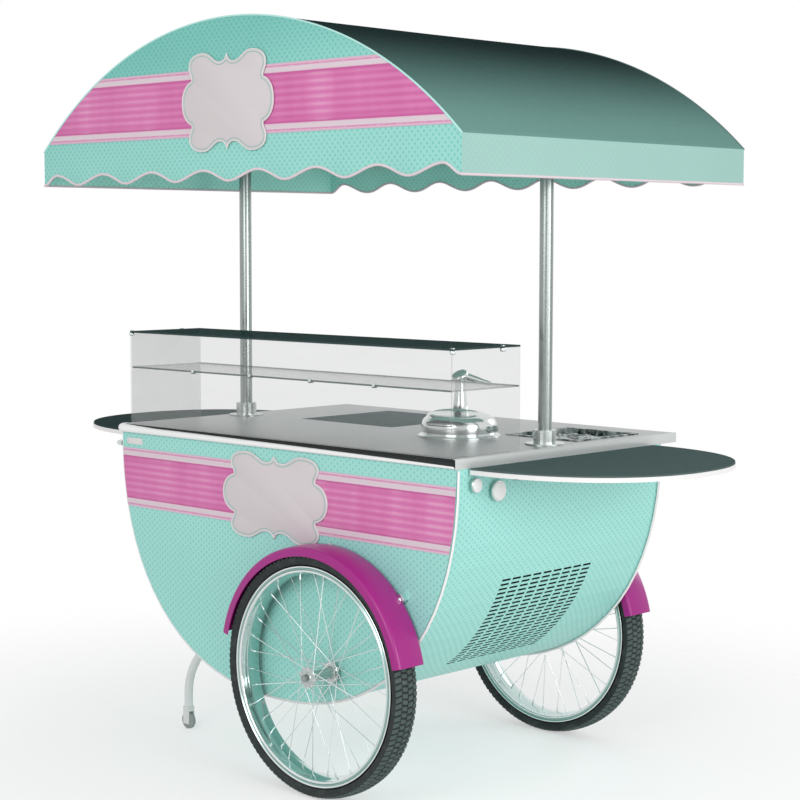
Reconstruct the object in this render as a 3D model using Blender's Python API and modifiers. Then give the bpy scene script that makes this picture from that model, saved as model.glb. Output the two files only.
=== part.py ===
"""Ice cream cart: a deep U-shaped tub on two wire wheels, with a steel worktop, a glass
display case, a barrel-roofed canopy on two posts, fold-down end trays and a parking leg.

Metres, +Z up. X runs along the cart, -Y is the customer's side, and the origin is on the
ground, below the middle of the tub. Run with: blender --background --python part.py
"""
from math import asin, atan2, cos, hypot, pi, radians, sin

import bmesh
import bpy
from mathutils import Matrix, Vector

# Fits and clearances shared by all pieces
SEAT_GAP = 0.0003
RUN_GAP = 0.0008
MOVE_GAP = 0.005
CUT_OVERRUN = 0.004
WELD_DISTANCE = 0.00001
ROUND_SIDES = 24
PIN_SIDES = 12
NUT_SIDES = 6
SMOOTH_ANGLE = radians(35)

# Wheels
TYRE_RADIUS = 0.334
TYRE_WIDTH = 0.084
TYRE_HEIGHT = 0.0385
TYRE_WALL_SHARES = ((0.18, 0.86), (0.45, 1.00), (0.74, 0.97), (0.92, 0.76), (1.00, 0.38))
RIM_WIDTH = 0.052
RIM_DEPTH = 0.030
RIM_WALL = 0.004
RIM_LIP = 0.010
WHEEL_OUT = 0.0555
WHEEL_X = 0.236
WHEEL_STEPS = 36
SPOKE_COUNT = 36
SPOKE_RADIUS = 0.001
SPOKE_SIDES = 4
SPOKE_BITE = 0.002
SPOKE_CROSSING = 5
SPOKE_SIDE_STEP = 0.0013
SPOKE_PHASE_SHARES = (0.25, 0.75)
HUB_SIDES = 18
HUB_FLANGE_RADIUS = 0.029
HUB_FLANGE_THICK = 0.005
HUB_FLANGE_SPREAD = 0.082
HUB_BARREL_RADIUS = 0.016
HUB_NOSE = 0.004
AXLE_RADIUS = 0.008
AXLE_NUT_RADIUS = 0.011
AXLE_NUT_LENGTH = 0.010

# Fenders
FENDER_CLEARANCE = 0.018
FENDER_WIDTH = 0.098
FENDER_CROWN = 0.004
FENDER_THICK = 0.003
FENDER_TIP_ANGLE = radians(12.5)
FENDER_STEPS = 24
FENDER_ROWS = 4
FENDER_TAB_WIDTH = 0.022
FENDER_TAB_DEPTH = 0.016
FENDER_TAB_THICK = 0.006
FENDER_TAB_SINK = 0.00075
FENDER_TAB_ANGLES = (radians(42), radians(90), radians(138))

# Worktop: a steel sheet on a white base whose near edge is a bullnose
WORKTOP_HEIGHT = 0.956
WORKTOP_THICK = 0.026
WORKTOP_SHEET = 0.011
WORKTOP_END_INSET = 0.004
WORKTOP_NEAR_INSET = 0.0085
WORKTOP_FAR_OVERHANG = 0.0745
WORKTOP_EDGE_RADIUS = 0.003
BASE_OVERHANG = 0.005
BASE_EDGE_RADIUS = 0.006
BASE_SEGMENTS = 3
COLD_PLATE_SIZE = 0.392
COLD_PLATE_THICK = 0.008
COLD_PLATE_X = -0.205
COLD_PLATE_FAR_MARGIN = 0.279
WELL_LENGTH = 0.238
WELL_WIDTH = 0.258
WELL_DEPTH = 0.120
WELL_WALL = 0.002
WELL_RIM = 0.012
WELL_RIM_THICK = 0.003
WELL_END_MARGIN = 0.179
WELL_FAR_MARGIN = 0.258

# Tub
TUB_LENGTH = 1.368
TUB_WIDTH = 0.877
TUB_BOTTOM = 0.224
TUB_EXPONENT = 2.25
TUB_POINTS = 36
PANEL_THICK = 0.012
SHELL_THICK = 0.008
PIPING_RADIUS = 0.004
PIPING_RESOLUTION = 0

# Vent in the tub's right-hand end: slots in rows that follow its curve
VENT_COLUMNS = 9
VENT_ROWS = 24
VENT_COLUMN_PITCH = 0.0435
VENT_ROW_PITCH = 0.0144
VENT_SLOT_LENGTH = 0.034
VENT_SLOT_HEIGHT = 0.0062
VENT_FROM_TOP = 0.333
VENT_SAMPLES = 360

# Inside the tub: a storage shelf to the left, the cooling unit on a lower one to the right
SHELF_THICK = 0.012
SHELF_DROP = 0.050
SHELF_END_GAP = 0.003
SHELF_SPLIT_MARGIN = 0.060
UNIT_FLOOR_CLEARANCE = 0.026
COLD_BOX_LENGTH = 0.300
COLD_BOX_WIDTH = 0.500
COLD_BOX_HEIGHT = 0.260
COLD_BOX_MARGIN = 0.020

# Vendor's door, in the far panel
DOOR_FROM_END = 0.139
DOOR_WIDTH = 0.395
DOOR_TOP_DROP = 0.096
DOOR_HEIGHT_SHARE = 0.4818
DOOR_PIN_OFFSET = 0.006
DOOR_KNUCKLE_RADIUS = 0.005
DOOR_KNUCKLE_LENGTH = 0.060
DOOR_HINGE_SPREAD = 0.220
DOOR_STRAP_LENGTH = 0.030
DOOR_STRAP_THICK = 0.003
DOOR_STRAP_SINK = 0.003
DOOR_KNOB_RADIUS = 0.016
DOOR_KNOB_DEPTH = 0.026
DOOR_KNOB_INSET = 0.045
DOOR_KNOB_SHARES = ((0.0, 1.0), (0.8, 1.0), (1.0, 0.8), (0.9, 0.6), (0.4, 0.4), (0.5, 0.0), (0.0, 0.0))

# Posts
POST_RADIUS = 0.019
POST_INSET = 0.070
COLLAR_RADIUS = 0.032
COLLAR_HEIGHT = 0.040
FLANGE_RADIUS = 0.055
FLANGE_THICK = 0.004

# Glass case
GLASS_THICK = 0.005
GLASS_END_INSET = 0.0235
GLASS_DEPTH = 0.2735
GLASS_HEIGHT = 0.281
GLASS_SHELF_SHARE = 0.6192

# Canopy
CANOPY_LENGTH = 1.688
CANOPY_WIDTH = 1.200
CANOPY_EAVE = 1.772
CANOPY_SKIRT = 0.099
CANOPY_RISE = 0.3406
CANOPY_SKIN = 0.003
CANOPY_ARC_POINTS = 29
SCALLOP_COUNT = 8
SCALLOP_LENGTH = 0.2236
SCALLOP_DROP = 0.029
SCALLOP_POINTS = 6
FRAME_RADIUS = 0.010
FRAME_RESOLUTION = 1
FRAME_ARC_POINTS = 15

# Trays
TRAY_LENGTH = 0.455
TRAY_SIDE_INSET = 0.0435
TRAY_EXPONENT = 2.27
TRAY_POINTS = 32
TRAY_MAT_THICK = 0.004
TRAY_BOARD_THICK = 0.012
TRAY_MAT_INSET = 0.002
TRAY_START = 0.008
TRAY_PIN_OUT = 0.040
TRAY_PIN_DROP = 0.012
TRAY_PIN_RADIUS = 0.004
TRAY_EYE_RADIUS = 0.009
TRAY_EYE_WIDTH = 0.024
TRAY_HINGE_SHARE = 0.4333
TRAY_EAR_THICK = 0.005
TRAY_EAR_HEIGHT = 0.040
TRAY_BRACKET_STEPS = 4

# Fittings on the tub's right-hand end, a small one and a large one
FITTING_SMALL_IN = 0.0665
FITTING_SMALL_DROP = 0.072
FITTING_SMALL_RADIUS = 0.020
FITTING_LARGE_IN = 0.1545
FITTING_LARGE_DROP = 0.094
FITTING_LARGE_RADIUS = 0.028
FITTING_DEPTH = 0.018
FITTING_NECK_SHARE = 0.45
FITTING_SHARES = ((0.0, 1.0), (0.6, 1.0), (0.9, 0.85), (1.0, 0.6), (0.85, 0.35))
FITTING_NECK_HEIGHT_SHARE = 0.3
FITTING_SIDES = 16

# Parking leg
LEG_IN = 0.1585
LEG_RADIUS = 0.013
LEG_RESOLUTION = 2
LEG_PIVOT_FROM_END = 0.254
LEG_PIVOT_DROP = 0.036
LEG_FOOT_REACH = 0.144
LEG_WHEEL_RADIUS = 0.026
LEG_WHEEL_WIDTH = 0.016
LEG_PIN_RADIUS = 0.005
LEG_EYE_RADIUS = 0.014
LEG_EYE_WIDTH = 0.030
LEG_EAR_THICK = 0.006
LEG_EAR_REACH = 0.016
LEG_BRACKET_STEPS = 6
LEG_FORK_CHEEK = 0.003
LEG_FORK_HEIGHT = 0.016
LEG_BEND_POINTS = 10
LEG_STRAIGHT = 0.040
LEG_CORNER_SHARE = 0.62

# Basin with a tap, on the worktop: a drum with a sloped front, a dished bowl and two knobs
BASIN_X = 0.305
BASIN_Y = -0.008
BASIN_TURN = radians(15)
BASIN_FLANGE_RADIUS = 0.118
BASIN_FLANGE_THICK = 0.008
BASIN_RADIUS = 0.108
BASIN_HEIGHT = 0.064
BASIN_SHOULDER = 0.024
BASIN_SHOULDER_STEPS = 4
BASIN_SLOPE = radians(17)
BASIN_SLOPE_START = 0.014
BOWL_HALF_WIDTH = 0.070
BOWL_HALF_DEPTH = 0.036
BOWL_DROP = 0.026
BOWL_FORWARD = 0.044
BOWL_SHARES = ((0.0, -1.0), (0.5, -0.9), (0.85, -0.55), (1.0, 0.0))
SLOT_WIDTH = 0.098
SLOT_HEIGHT = 0.003
SLOT_DEPTH = 0.010
SLOT_RISE = 0.026
KNOB_RADIUS = 0.009
KNOB_REACH = 0.008
KNOB_RISE = 0.025
KNOB_ANGLES = (radians(72), radians(92))
TAP_BACK = 0.012
TAP_RADIUS = 0.0190
TAP_FOOT_RADIUS = 0.0225
TAP_FOOT_HEIGHT = 0.030
TAP_HEIGHT = 0.112
HEAD_RADIUS = 0.029
HEAD_THICK = 0.026
HEAD_EDGE = 0.006
HEAD_TILT = radians(40)
HEAD_DISH_RADIUS = 0.021
HEAD_DISH_DEPTH = 0.003

COLLECTION = "ice_cream_cart"
CUTTERS = "cutters"

# Places worked out from the sizes above
RIM_RADIUS = TYRE_RADIUS - TYRE_HEIGHT
WORKTOP_UNDER = WORKTOP_HEIGHT - WORKTOP_THICK
TUB_TOP = WORKTOP_UNDER - SEAT_GAP
TUB_HALF_LENGTH = TUB_LENGTH / 2
TUB_HALF_WIDTH = TUB_WIDTH / 2
TUB_DEPTH = TUB_TOP - TUB_BOTTOM
WHEEL_Y = TUB_HALF_WIDTH + WHEEL_OUT
WORKTOP_HALF_LENGTH = TUB_HALF_LENGTH - WORKTOP_END_INSET
WORKTOP_NEAR = TUB_HALF_WIDTH - WORKTOP_NEAR_INSET
WORKTOP_FAR = TUB_HALF_WIDTH + WORKTOP_FAR_OVERHANG
COLD_PLATE_Y = WORKTOP_FAR - COLD_PLATE_FAR_MARGIN
WELL_X = TUB_HALF_LENGTH - WELL_END_MARGIN
WELL_Y = WORKTOP_FAR - WELL_FAR_MARGIN
POST_X = TUB_HALF_LENGTH - POST_INSET
DOOR_LEFT = DOOR_FROM_END - TUB_HALF_LENGTH
DOOR_RIGHT = DOOR_LEFT + DOOR_WIDTH
DOOR_TOP = WORKTOP_HEIGHT - DOOR_TOP_DROP
DOOR_BOTTOM = DOOR_TOP - TUB_DEPTH * DOOR_HEIGHT_SHARE
SHELF_HEIGHT = DOOR_BOTTOM - SHELF_DROP
UNIT_SHELF_HEIGHT = TYRE_RADIUS + AXLE_RADIUS + UNIT_FLOOR_CLEARANCE + SHELF_THICK
GLASS_TOP = WORKTOP_HEIGHT + GLASS_HEIGHT
GLASS_SHELF = WORKTOP_HEIGHT + GLASS_HEIGHT * GLASS_SHELF_SHARE
TRAY_HALF_WIDTH = TUB_HALF_WIDTH - TRAY_SIDE_INSET
TRAY_HINGE_Y = TUB_HALF_WIDTH * TRAY_HINGE_SHARE
LEG_Y = LEG_IN - TUB_HALF_WIDTH
LEG_PIVOT_X = LEG_PIVOT_FROM_END - TUB_HALF_LENGTH
LEG_FOOT_X = LEG_PIVOT_X - LEG_FOOT_REACH
CANOPY_HALF_LENGTH = CANOPY_LENGTH / 2
CANOPY_HALF_WIDTH = CANOPY_WIDTH / 2
CANOPY_ARC_RADIUS = (CANOPY_HALF_LENGTH ** 2 + CANOPY_RISE ** 2) / (2 * CANOPY_RISE)
CANOPY_ARC_Z = CANOPY_EAVE + CANOPY_RISE - CANOPY_ARC_RADIUS
CANOPY_BOTTOM = CANOPY_EAVE - CANOPY_SKIRT


def clear_scene():
    """Remove what the file opened with."""
    for item in list(bpy.data.objects):
        bpy.data.objects.remove(item, do_unlink=True)
    for name in (COLLECTION, CUTTERS):
        group = bpy.data.collections.new(name)
        bpy.context.scene.collection.children.link(group)


def material(name, colour, roughness, metallic):
    """A plain Principled material."""
    made = bpy.data.materials.new(name)
    made.use_nodes = True
    shader = made.node_tree.nodes["Principled BSDF"]
    shader.inputs["Base Color"].default_value = (*colour, 1.0)
    shader.inputs["Roughness"].default_value = roughness
    shader.inputs["Metallic"].default_value = metallic
    return made


def finish(name, mesh, paint, origin=(0, 0, 0)):
    """Make an object of a mesh given in world places, with its origin at a chosen point."""
    mesh.transform(Matrix.Translation(-Vector(origin)))
    mesh.name = name
    mesh.materials.clear()
    mesh.materials.append(paint)
    mesh.shade_smooth()
    mesh.set_sharp_from_angle(angle=SMOOTH_ANGLE)
    made = bpy.data.objects.new(name, mesh)
    made.location = origin
    bpy.data.collections[COLLECTION].objects.link(made)
    return made


def mesh_of(made, weld=True):
    """The evaluated mesh of an object in world places; the object is removed."""
    bpy.context.view_layer.update()
    evaluated = made.evaluated_get(bpy.context.evaluated_depsgraph_get())
    mesh = bpy.data.meshes.new_from_object(evaluated)
    mesh.transform(made.matrix_world)
    if weld:
        form = bmesh.new()
        form.from_mesh(mesh)
        bmesh.ops.remove_doubles(form, verts=form.verts, dist=WELD_DISTANCE)
        form.to_mesh(mesh)
        form.free()
    bpy.data.objects.remove(made, do_unlink=True)
    return mesh


def temporary(data):
    """An object among the cutters, for shaping only."""
    made = bpy.data.objects.new("shaping", data)
    made.hide_render = True
    made.display_type = "WIRE"
    bpy.data.collections[CUTTERS].objects.link(made)
    return made


def box_mesh(low, high, edge_radius=0, segments=2):
    """A box between two corners, its edges rounded if a radius is given."""
    form = bmesh.new()
    bmesh.ops.create_cube(form, size=1.0)
    for vert in form.verts:
        vert.co = Vector([high[i] if vert.co[i] > 0 else low[i] for i in range(3)])
    if edge_radius:
        bmesh.ops.bevel(form, geom=form.edges, offset=edge_radius, segments=segments,
                        profile=0.5, affect="EDGES")
    mesh = bpy.data.meshes.new("box")
    form.to_mesh(mesh)
    form.free()
    return mesh


def rod_mesh(start, end, radius, sides=PIN_SIDES, end_radius=None):
    """A cylinder or cone between two points."""
    start = Vector(start)
    run = Vector(end) - start
    turn = run.to_track_quat("Z", "Y").to_matrix().to_4x4()
    form = bmesh.new()
    bmesh.ops.create_cone(form, cap_ends=True, segments=sides, radius1=radius,
                          radius2=radius if end_radius is None else end_radius, depth=run.length)
    bmesh.ops.transform(form, matrix=Matrix.Translation(start + run / 2) @ turn, verts=form.verts)
    mesh = bpy.data.meshes.new("rod")
    form.to_mesh(mesh)
    form.free()
    return mesh


def plate_mesh(outline, y_low, y_high):
    """A flat outline in X and Z, given thickness along Y."""
    curve = bpy.data.curves.new("outline", "CURVE")
    curve.dimensions = "2D"
    curve.fill_mode = "BOTH"
    curve.extrude = (y_high - y_low) / 2
    spline = curve.splines.new("POLY")
    spline.points.add(len(outline) - 1)
    for point, (x, z) in zip(spline.points, outline):
        point.co = (x, z, 0, 1)
    spline.use_cyclic_u = True
    made = temporary(curve)
    made.rotation_euler = (pi / 2, 0, 0)
    made.location = (0, (y_low + y_high) / 2, 0)
    return mesh_of(made)


def flat_mesh(outline, z_low, z_high):
    """A flat outline in X and Y, given thickness along Z."""
    mesh = plate_mesh(outline, z_low, z_high)
    mesh.transform(Matrix(((1, 0, 0, 0), (0, 0, 1, 0), (0, 1, 0, 0), (0, 0, 0, 1))))
    mesh.flip_normals()
    return mesh


def tube_mesh(points, radius, resolution=FRAME_RESOLUTION, cyclic=False):
    """A round tube through points."""
    curve = bpy.data.curves.new("route", "CURVE")
    curve.dimensions = "3D"
    curve.bevel_depth = radius
    curve.bevel_resolution = resolution
    curve.use_fill_caps = True
    spline = curve.splines.new("POLY")
    spline.points.add(len(points) - 1)
    for point, place in zip(spline.points, points):
        point.co = (*place, 1)
    spline.use_cyclic_u = cyclic
    return mesh_of(temporary(curve))


def turned_mesh(profile, steps=ROUND_SIDES, closed=False):
    """A profile of (radius, height) points turned about Z."""
    mesh = bpy.data.meshes.new("profile")
    verts = [(radius, 0, height) for radius, height in profile]
    edges = [(i, i + 1) for i in range(len(verts) - 1)]
    if closed:
        edges.append((len(verts) - 1, 0))
    mesh.from_pydata(verts, edges, [])
    made = temporary(mesh)
    screw = made.modifiers.new("turn", "SCREW")
    screw.axis = "Z"
    screw.steps = steps
    screw.render_steps = steps
    screw.use_merge_vertices = True
    screw.merge_threshold = WELD_DISTANCE
    return mesh_of(made)


def combined(base, others, operation):
    """Join meshes to a mesh, or cut them from it."""
    target = temporary(base)
    form = bmesh.new()
    for other in others:
        form.from_mesh(other)
    tools = bpy.data.meshes.new("tools")
    form.to_mesh(tools)
    form.free()
    tool = temporary(tools)
    change = target.modifiers.new("change", "BOOLEAN")
    change.operation = operation
    change.solver = "EXACT"
    change.use_self = True
    change.object = tool
    mesh = mesh_of(target, weld=False)
    bpy.data.objects.remove(tool, do_unlink=True)
    return mesh


def joined(base, others):
    return combined(base, others, "UNION")


def cut(base, others):
    return combined(base, others, "DIFFERENCE")


def scaled(shares, across, along):
    """A profile of (across, along) points from a table of shares."""
    return [(across * a, along * b) for a, b in shares]


def along_y(mesh, x, y, z, flip=False):
    """Lay a mesh that was turned about Z along Y; flip turns its top towards -Y."""
    turn = Matrix.Rotation(pi / 2 if flip else -pi / 2, 4, "X")
    mesh.transform(Matrix.Translation((x, y, z)) @ turn)
    return mesh


def tub_z(x, inset=0):
    """Height of the tub's underside at a distance along it, for a wall set in by inset."""
    half = TUB_HALF_LENGTH - inset
    share = min(abs(x) / half, 1)
    return TUB_TOP - (TUB_DEPTH - inset) * (1 - share ** TUB_EXPONENT) ** (1 / TUB_EXPONENT)


def tub_half_length(z, inset=0):
    """Half the tub's length at a height, for a wall set in by inset."""
    share = min(max((TUB_TOP - z) / (TUB_DEPTH - inset), 0), 1)
    return (TUB_HALF_LENGTH - inset) * (1 - share ** TUB_EXPONENT) ** (1 / TUB_EXPONENT)


def tub_curve(inset=0, count=TUB_POINTS):
    """The tub's U outline, from the left end of its top edge, down and round to the right."""
    points = []
    for i in range(count + 1):
        angle = pi * i / count
        across = -cos(angle)
        down = sin(angle)
        power = 2 / TUB_EXPONENT
        x = (TUB_HALF_LENGTH - inset) * (1 if across > 0 else -1) * abs(across) ** power
        z = TUB_TOP - (TUB_DEPTH - inset) * max(down, 0) ** power
        points.append((x, z if 0 < i < count else TUB_TOP))
    return points


def side_panels(mint):
    """The two flat sides of the tub, each with the axle's hole; the far one has the doorway."""
    for name, side in (("side_panel_near", -1), ("side_panel_far", 1)):
        outer = side * TUB_HALF_WIDTH
        inner = side * (TUB_HALF_WIDTH - PANEL_THICK)
        mesh = plate_mesh(tub_curve(), min(outer, inner), max(outer, inner))
        over = side * CUT_OVERRUN
        hole_start = (WHEEL_X, inner - over, TYRE_RADIUS)
        hole_end = (WHEEL_X, outer + over, TYRE_RADIUS)
        cutters = [rod_mesh(hole_start, hole_end, AXLE_RADIUS + SEAT_GAP)]
        if side > 0:
            cutters.append(box_mesh((DOOR_LEFT, inner - over, DOOR_BOTTOM),
                                    (DOOR_RIGHT, outer + over, DOOR_TOP)))
        finish(name, cut(mesh, cutters), mint)


def down_the_end(distance):
    """The point at a distance down the tub's right-hand end from its top edge, and its slope."""
    points = tub_curve(count=VENT_SAMPLES)[::-1]
    walked = 0
    for (x, z), (next_x, next_z) in zip(points, points[1:]):
        step = ((next_x - x) ** 2 + (next_z - z) ** 2) ** 0.5
        if walked + step >= distance:
            share = (distance - walked) / step
            return x + (next_x - x) * share, z + (next_z - z) * share, atan2(x - next_x, z - next_z)
        walked += step
    return points[-1] + (0,)


def vent_slots():
    """The vent's slots, square to the curve, to be cut from the shell."""
    slots = []
    depth = 2 * SHELL_THICK
    for row in range(VENT_ROWS):
        x, z, slope = down_the_end(VENT_FROM_TOP + row * VENT_ROW_PITCH)
        for column in range(VENT_COLUMNS):
            y = (column - (VENT_COLUMNS - 1) / 2) * VENT_COLUMN_PITCH
            slot = box_mesh((-depth, -VENT_SLOT_LENGTH / 2, -VENT_SLOT_HEIGHT / 2),
                            (CUT_OVERRUN, VENT_SLOT_LENGTH / 2, VENT_SLOT_HEIGHT / 2))
            slot.transform(Matrix.Translation((x, y, z)) @ Matrix.Rotation(slope, 4, "Y"))
            slots.append(slot)
    return slots


def tub_shell(mint):
    """The curved skin that wraps the ends and the bottom, with the vent in its right-hand end."""
    outline = tub_curve() + tub_curve(SHELL_THICK)[::-1]
    half = TUB_HALF_WIDTH - PANEL_THICK - SEAT_GAP
    finish("tub_shell", cut(plate_mesh(outline, -half, half), vent_slots()), mint)


def pipings(white):
    """The white bead along the curved edge of each side panel."""
    for name, side in (("piping_near", -1), ("piping_far", 1)):
        y = side * (TUB_HALF_WIDTH - PIPING_RADIUS)
        route = tub_curve(-PIPING_RADIUS - SEAT_GAP)
        first = (route[0][0], route[0][1] - CUT_OVERRUN)
        last = (route[-1][0], route[-1][1] - CUT_OVERRUN)
        points = [(x, y, z) for x, z in [first] + route[1:-1] + [last]]
        finish(name, tube_mesh(points, PIPING_RADIUS, PIPING_RESOLUTION), white)


def inner_fittings(white, grey):
    """The storage shelf, and the cooling unit on a lower shelf behind the vent."""
    half_y = TUB_HALF_WIDTH - PANEL_THICK - SEAT_GAP
    low = UNIT_SHELF_HEIGHT - SHELF_THICK
    reach = tub_half_length(low, SHELL_THICK) - SHELF_END_GAP
    unit_right = reach - COLD_BOX_MARGIN
    unit_left = unit_right - COLD_BOX_LENGTH
    split = unit_left - SHELF_SPLIT_MARGIN
    finish("unit_shelf", box_mesh((split, -half_y, low), (reach, half_y, UNIT_SHELF_HEIGHT)), white)
    foot = UNIT_SHELF_HEIGHT + SEAT_GAP
    finish("cooling_unit", box_mesh((unit_left, -COLD_BOX_WIDTH / 2, foot),
                                    (unit_right, COLD_BOX_WIDTH / 2, foot + COLD_BOX_HEIGHT)), grey)
    low = SHELF_HEIGHT - SHELF_THICK
    reach = tub_half_length(low, SHELL_THICK) - SHELF_END_GAP
    finish("inner_shelf", box_mesh((-reach, -half_y, low), (split, half_y, SHELF_HEIGHT)), white)


def vendor_door(mint, steel):
    """The door in the far panel, hinged at its left edge, with a turned knob."""
    face = TUB_HALF_WIDTH
    pin_x = DOOR_LEFT + MOVE_GAP / 2
    pin_y = face + DOOR_PIN_OFFSET
    leaf = box_mesh((DOOR_LEFT + MOVE_GAP, face - PANEL_THICK, DOOR_BOTTOM + MOVE_GAP),
                    (DOOR_RIGHT - MOVE_GAP, face, DOOR_TOP - MOVE_GAP))
    middle = (DOOR_BOTTOM + DOOR_TOP) / 2
    leaf_eyes = []
    frame_eyes = []
    for z in (middle - DOOR_HINGE_SPREAD / 2, middle + DOOR_HINGE_SPREAD / 2):
        half = DOOR_KNUCKLE_LENGTH / 2
        leaf_eyes.append(rod_mesh((pin_x, pin_y, z + SEAT_GAP), (pin_x, pin_y, z + half),
                                  DOOR_KNUCKLE_RADIUS))
        leaf_eyes.append(box_mesh((pin_x, face - DOOR_STRAP_SINK, z + SEAT_GAP),
                                  (pin_x + DOOR_STRAP_LENGTH, face + DOOR_STRAP_THICK, z + half)))
        frame_eyes.append((pin_x, pin_y, z, half))
    leaf = joined(leaf, leaf_eyes)
    finish("vendor_door", leaf, mint, (pin_x, pin_y, DOOR_BOTTOM))
    for number, (x, y, z, half) in enumerate(frame_eyes, 1):
        eye = rod_mesh((x, y, z - half), (x, y, z - SEAT_GAP), DOOR_KNUCKLE_RADIUS)
        strap = box_mesh((x - DOOR_STRAP_LENGTH, face + SEAT_GAP, z - half),
                         (x, face + DOOR_STRAP_THICK + SEAT_GAP, z - SEAT_GAP))
        finish("door_hinge_{}".format(number), joined(eye, [strap]), steel)
    knob = scaled(DOOR_KNOB_SHARES, DOOR_KNOB_RADIUS, DOOR_KNOB_DEPTH)
    mesh = along_y(turned_mesh(knob, PIN_SIDES), DOOR_RIGHT - DOOR_KNOB_INSET, face + SEAT_GAP,
                   (DOOR_BOTTOM + DOOR_TOP) / 2)
    finish("vendor_door_knob", mesh, steel)


def well_box(inset, low, high):
    """A box as wide as the well in plan, set in by inset."""
    half_x = WELL_LENGTH / 2 - inset
    half_y = WELL_WIDTH / 2 - inset
    return box_mesh((WELL_X - half_x, WELL_Y - half_y, low), (WELL_X + half_x, WELL_Y + half_y, high))


def worktop(steel, white, stone):
    """The steel sheet and its white base, with the cold plate let in and the well sunk through."""
    half = WORKTOP_HALF_LENGTH
    sheet_low = WORKTOP_HEIGHT - WORKTOP_SHEET
    sheet = box_mesh((-half, -WORKTOP_NEAR, sheet_low), (half, WORKTOP_FAR, WORKTOP_HEIGHT),
                     WORKTOP_EDGE_RADIUS)
    base = box_mesh((-TUB_HALF_LENGTH, -TUB_HALF_WIDTH - BASE_OVERHANG, WORKTOP_UNDER),
                    (TUB_HALF_LENGTH, WORKTOP_FAR, sheet_low - SEAT_GAP), BASE_EDGE_RADIUS, BASE_SEGMENTS)
    reach = COLD_PLATE_SIZE / 2
    plate_low = WORKTOP_HEIGHT - COLD_PLATE_THICK
    wide = reach + SEAT_GAP
    recess = box_mesh((COLD_PLATE_X - wide, COLD_PLATE_Y - wide, plate_low - SEAT_GAP),
                      (COLD_PLATE_X + wide, COLD_PLATE_Y + wide, WORKTOP_HEIGHT + CUT_OVERRUN))
    low = WORKTOP_UNDER - CUT_OVERRUN
    high = WORKTOP_HEIGHT + CUT_OVERRUN
    finish("worktop", cut(sheet, [recess, well_box(-SEAT_GAP, low, high)]), steel)
    finish("worktop_base", cut(base, [well_box(-SEAT_GAP, low, high)]), white)
    finish("cold_plate", box_mesh((COLD_PLATE_X - reach, COLD_PLATE_Y - reach, plate_low),
                                  (COLD_PLATE_X + reach, COLD_PLATE_Y + reach, WORKTOP_HEIGHT)), stone)
    floor = WORKTOP_HEIGHT - WELL_DEPTH
    seat = WORKTOP_HEIGHT + SEAT_GAP
    pan = well_box(0, floor, seat + WELL_RIM_THICK)
    rim = well_box(-WELL_RIM, seat, seat + WELL_RIM_THICK)
    inside = well_box(WELL_WALL, floor + WELL_WALL, high + WELL_RIM_THICK)
    finish("well_pan", cut(joined(pan, [rim]), [inside]), steel)


def posts(steel, chrome):
    """The canopy's two posts, each in a flanged socket on the worktop."""
    top = frame_arch()[0][0][1] - FRAME_RADIUS - SEAT_GAP
    for name, side in (("left", -1), ("right", 1)):
        x = side * POST_X
        foot = WORKTOP_HEIGHT + SEAT_GAP
        finish("post_" + name, rod_mesh((x, 0, foot), (x, 0, top), POST_RADIUS, ROUND_SIDES), steel)
        bore = POST_RADIUS + SEAT_GAP
        profile = [(bore, COLLAR_HEIGHT), (COLLAR_RADIUS, COLLAR_HEIGHT), (COLLAR_RADIUS, FLANGE_THICK),
                   (FLANGE_RADIUS, FLANGE_THICK), (FLANGE_RADIUS, 0), (bore, 0)]
        mesh = turned_mesh(profile, ROUND_SIDES, closed=True)
        mesh.transform(Matrix.Translation((x, 0, foot)))
        finish("post_socket_" + name, mesh, chrome)


def glass_case(glass):
    """The display case on the customer's edge of the worktop."""
    half = WORKTOP_HALF_LENGTH - GLASS_END_INSET
    near = -WORKTOP_NEAR
    back = near + GLASS_DEPTH
    foot = WORKTOP_HEIGHT + SEAT_GAP
    under = GLASS_TOP - GLASS_THICK
    finish("glass_top", box_mesh((-half, near, under), (half, back, GLASS_TOP)), glass)
    finish("glass_front", box_mesh((-half, near, foot), (half, near + GLASS_THICK, under - SEAT_GAP)),
           glass)
    for name, side in (("left", -1), ("right", 1)):
        outer = side * half
        inner = side * (half - GLASS_THICK)
        finish("glass_end_" + name,
               box_mesh((min(outer, inner), near + GLASS_THICK + SEAT_GAP, foot),
                        (max(outer, inner), back, under - SEAT_GAP)), glass)
    inside = half - GLASS_THICK - SEAT_GAP
    finish("glass_shelf", box_mesh((-inside, near + GLASS_THICK + SEAT_GAP, GLASS_SHELF - GLASS_THICK),
                                   (inside, back, GLASS_SHELF)), glass)


def canopy_arc(inset=0, count=CANOPY_ARC_POINTS):
    """The canopy's arch, left to right, for a surface set in by inset."""
    radius = CANOPY_ARC_RADIUS - inset
    half = CANOPY_HALF_LENGTH - inset
    reach = asin(half / radius)
    points = []
    for i in range(count):
        angle = -reach + 2 * reach * i / (count - 1)
        points.append((radius * sin(angle), CANOPY_ARC_Z + radius * cos(angle)))
    return points


def scallop_z(x):
    """Height of the wavy lower edge of the canopy's ends."""
    middle = CANOPY_BOTTOM + SCALLOP_DROP / 2
    return middle - SCALLOP_DROP / 2 * cos(2 * pi * x / SCALLOP_LENGTH)


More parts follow.
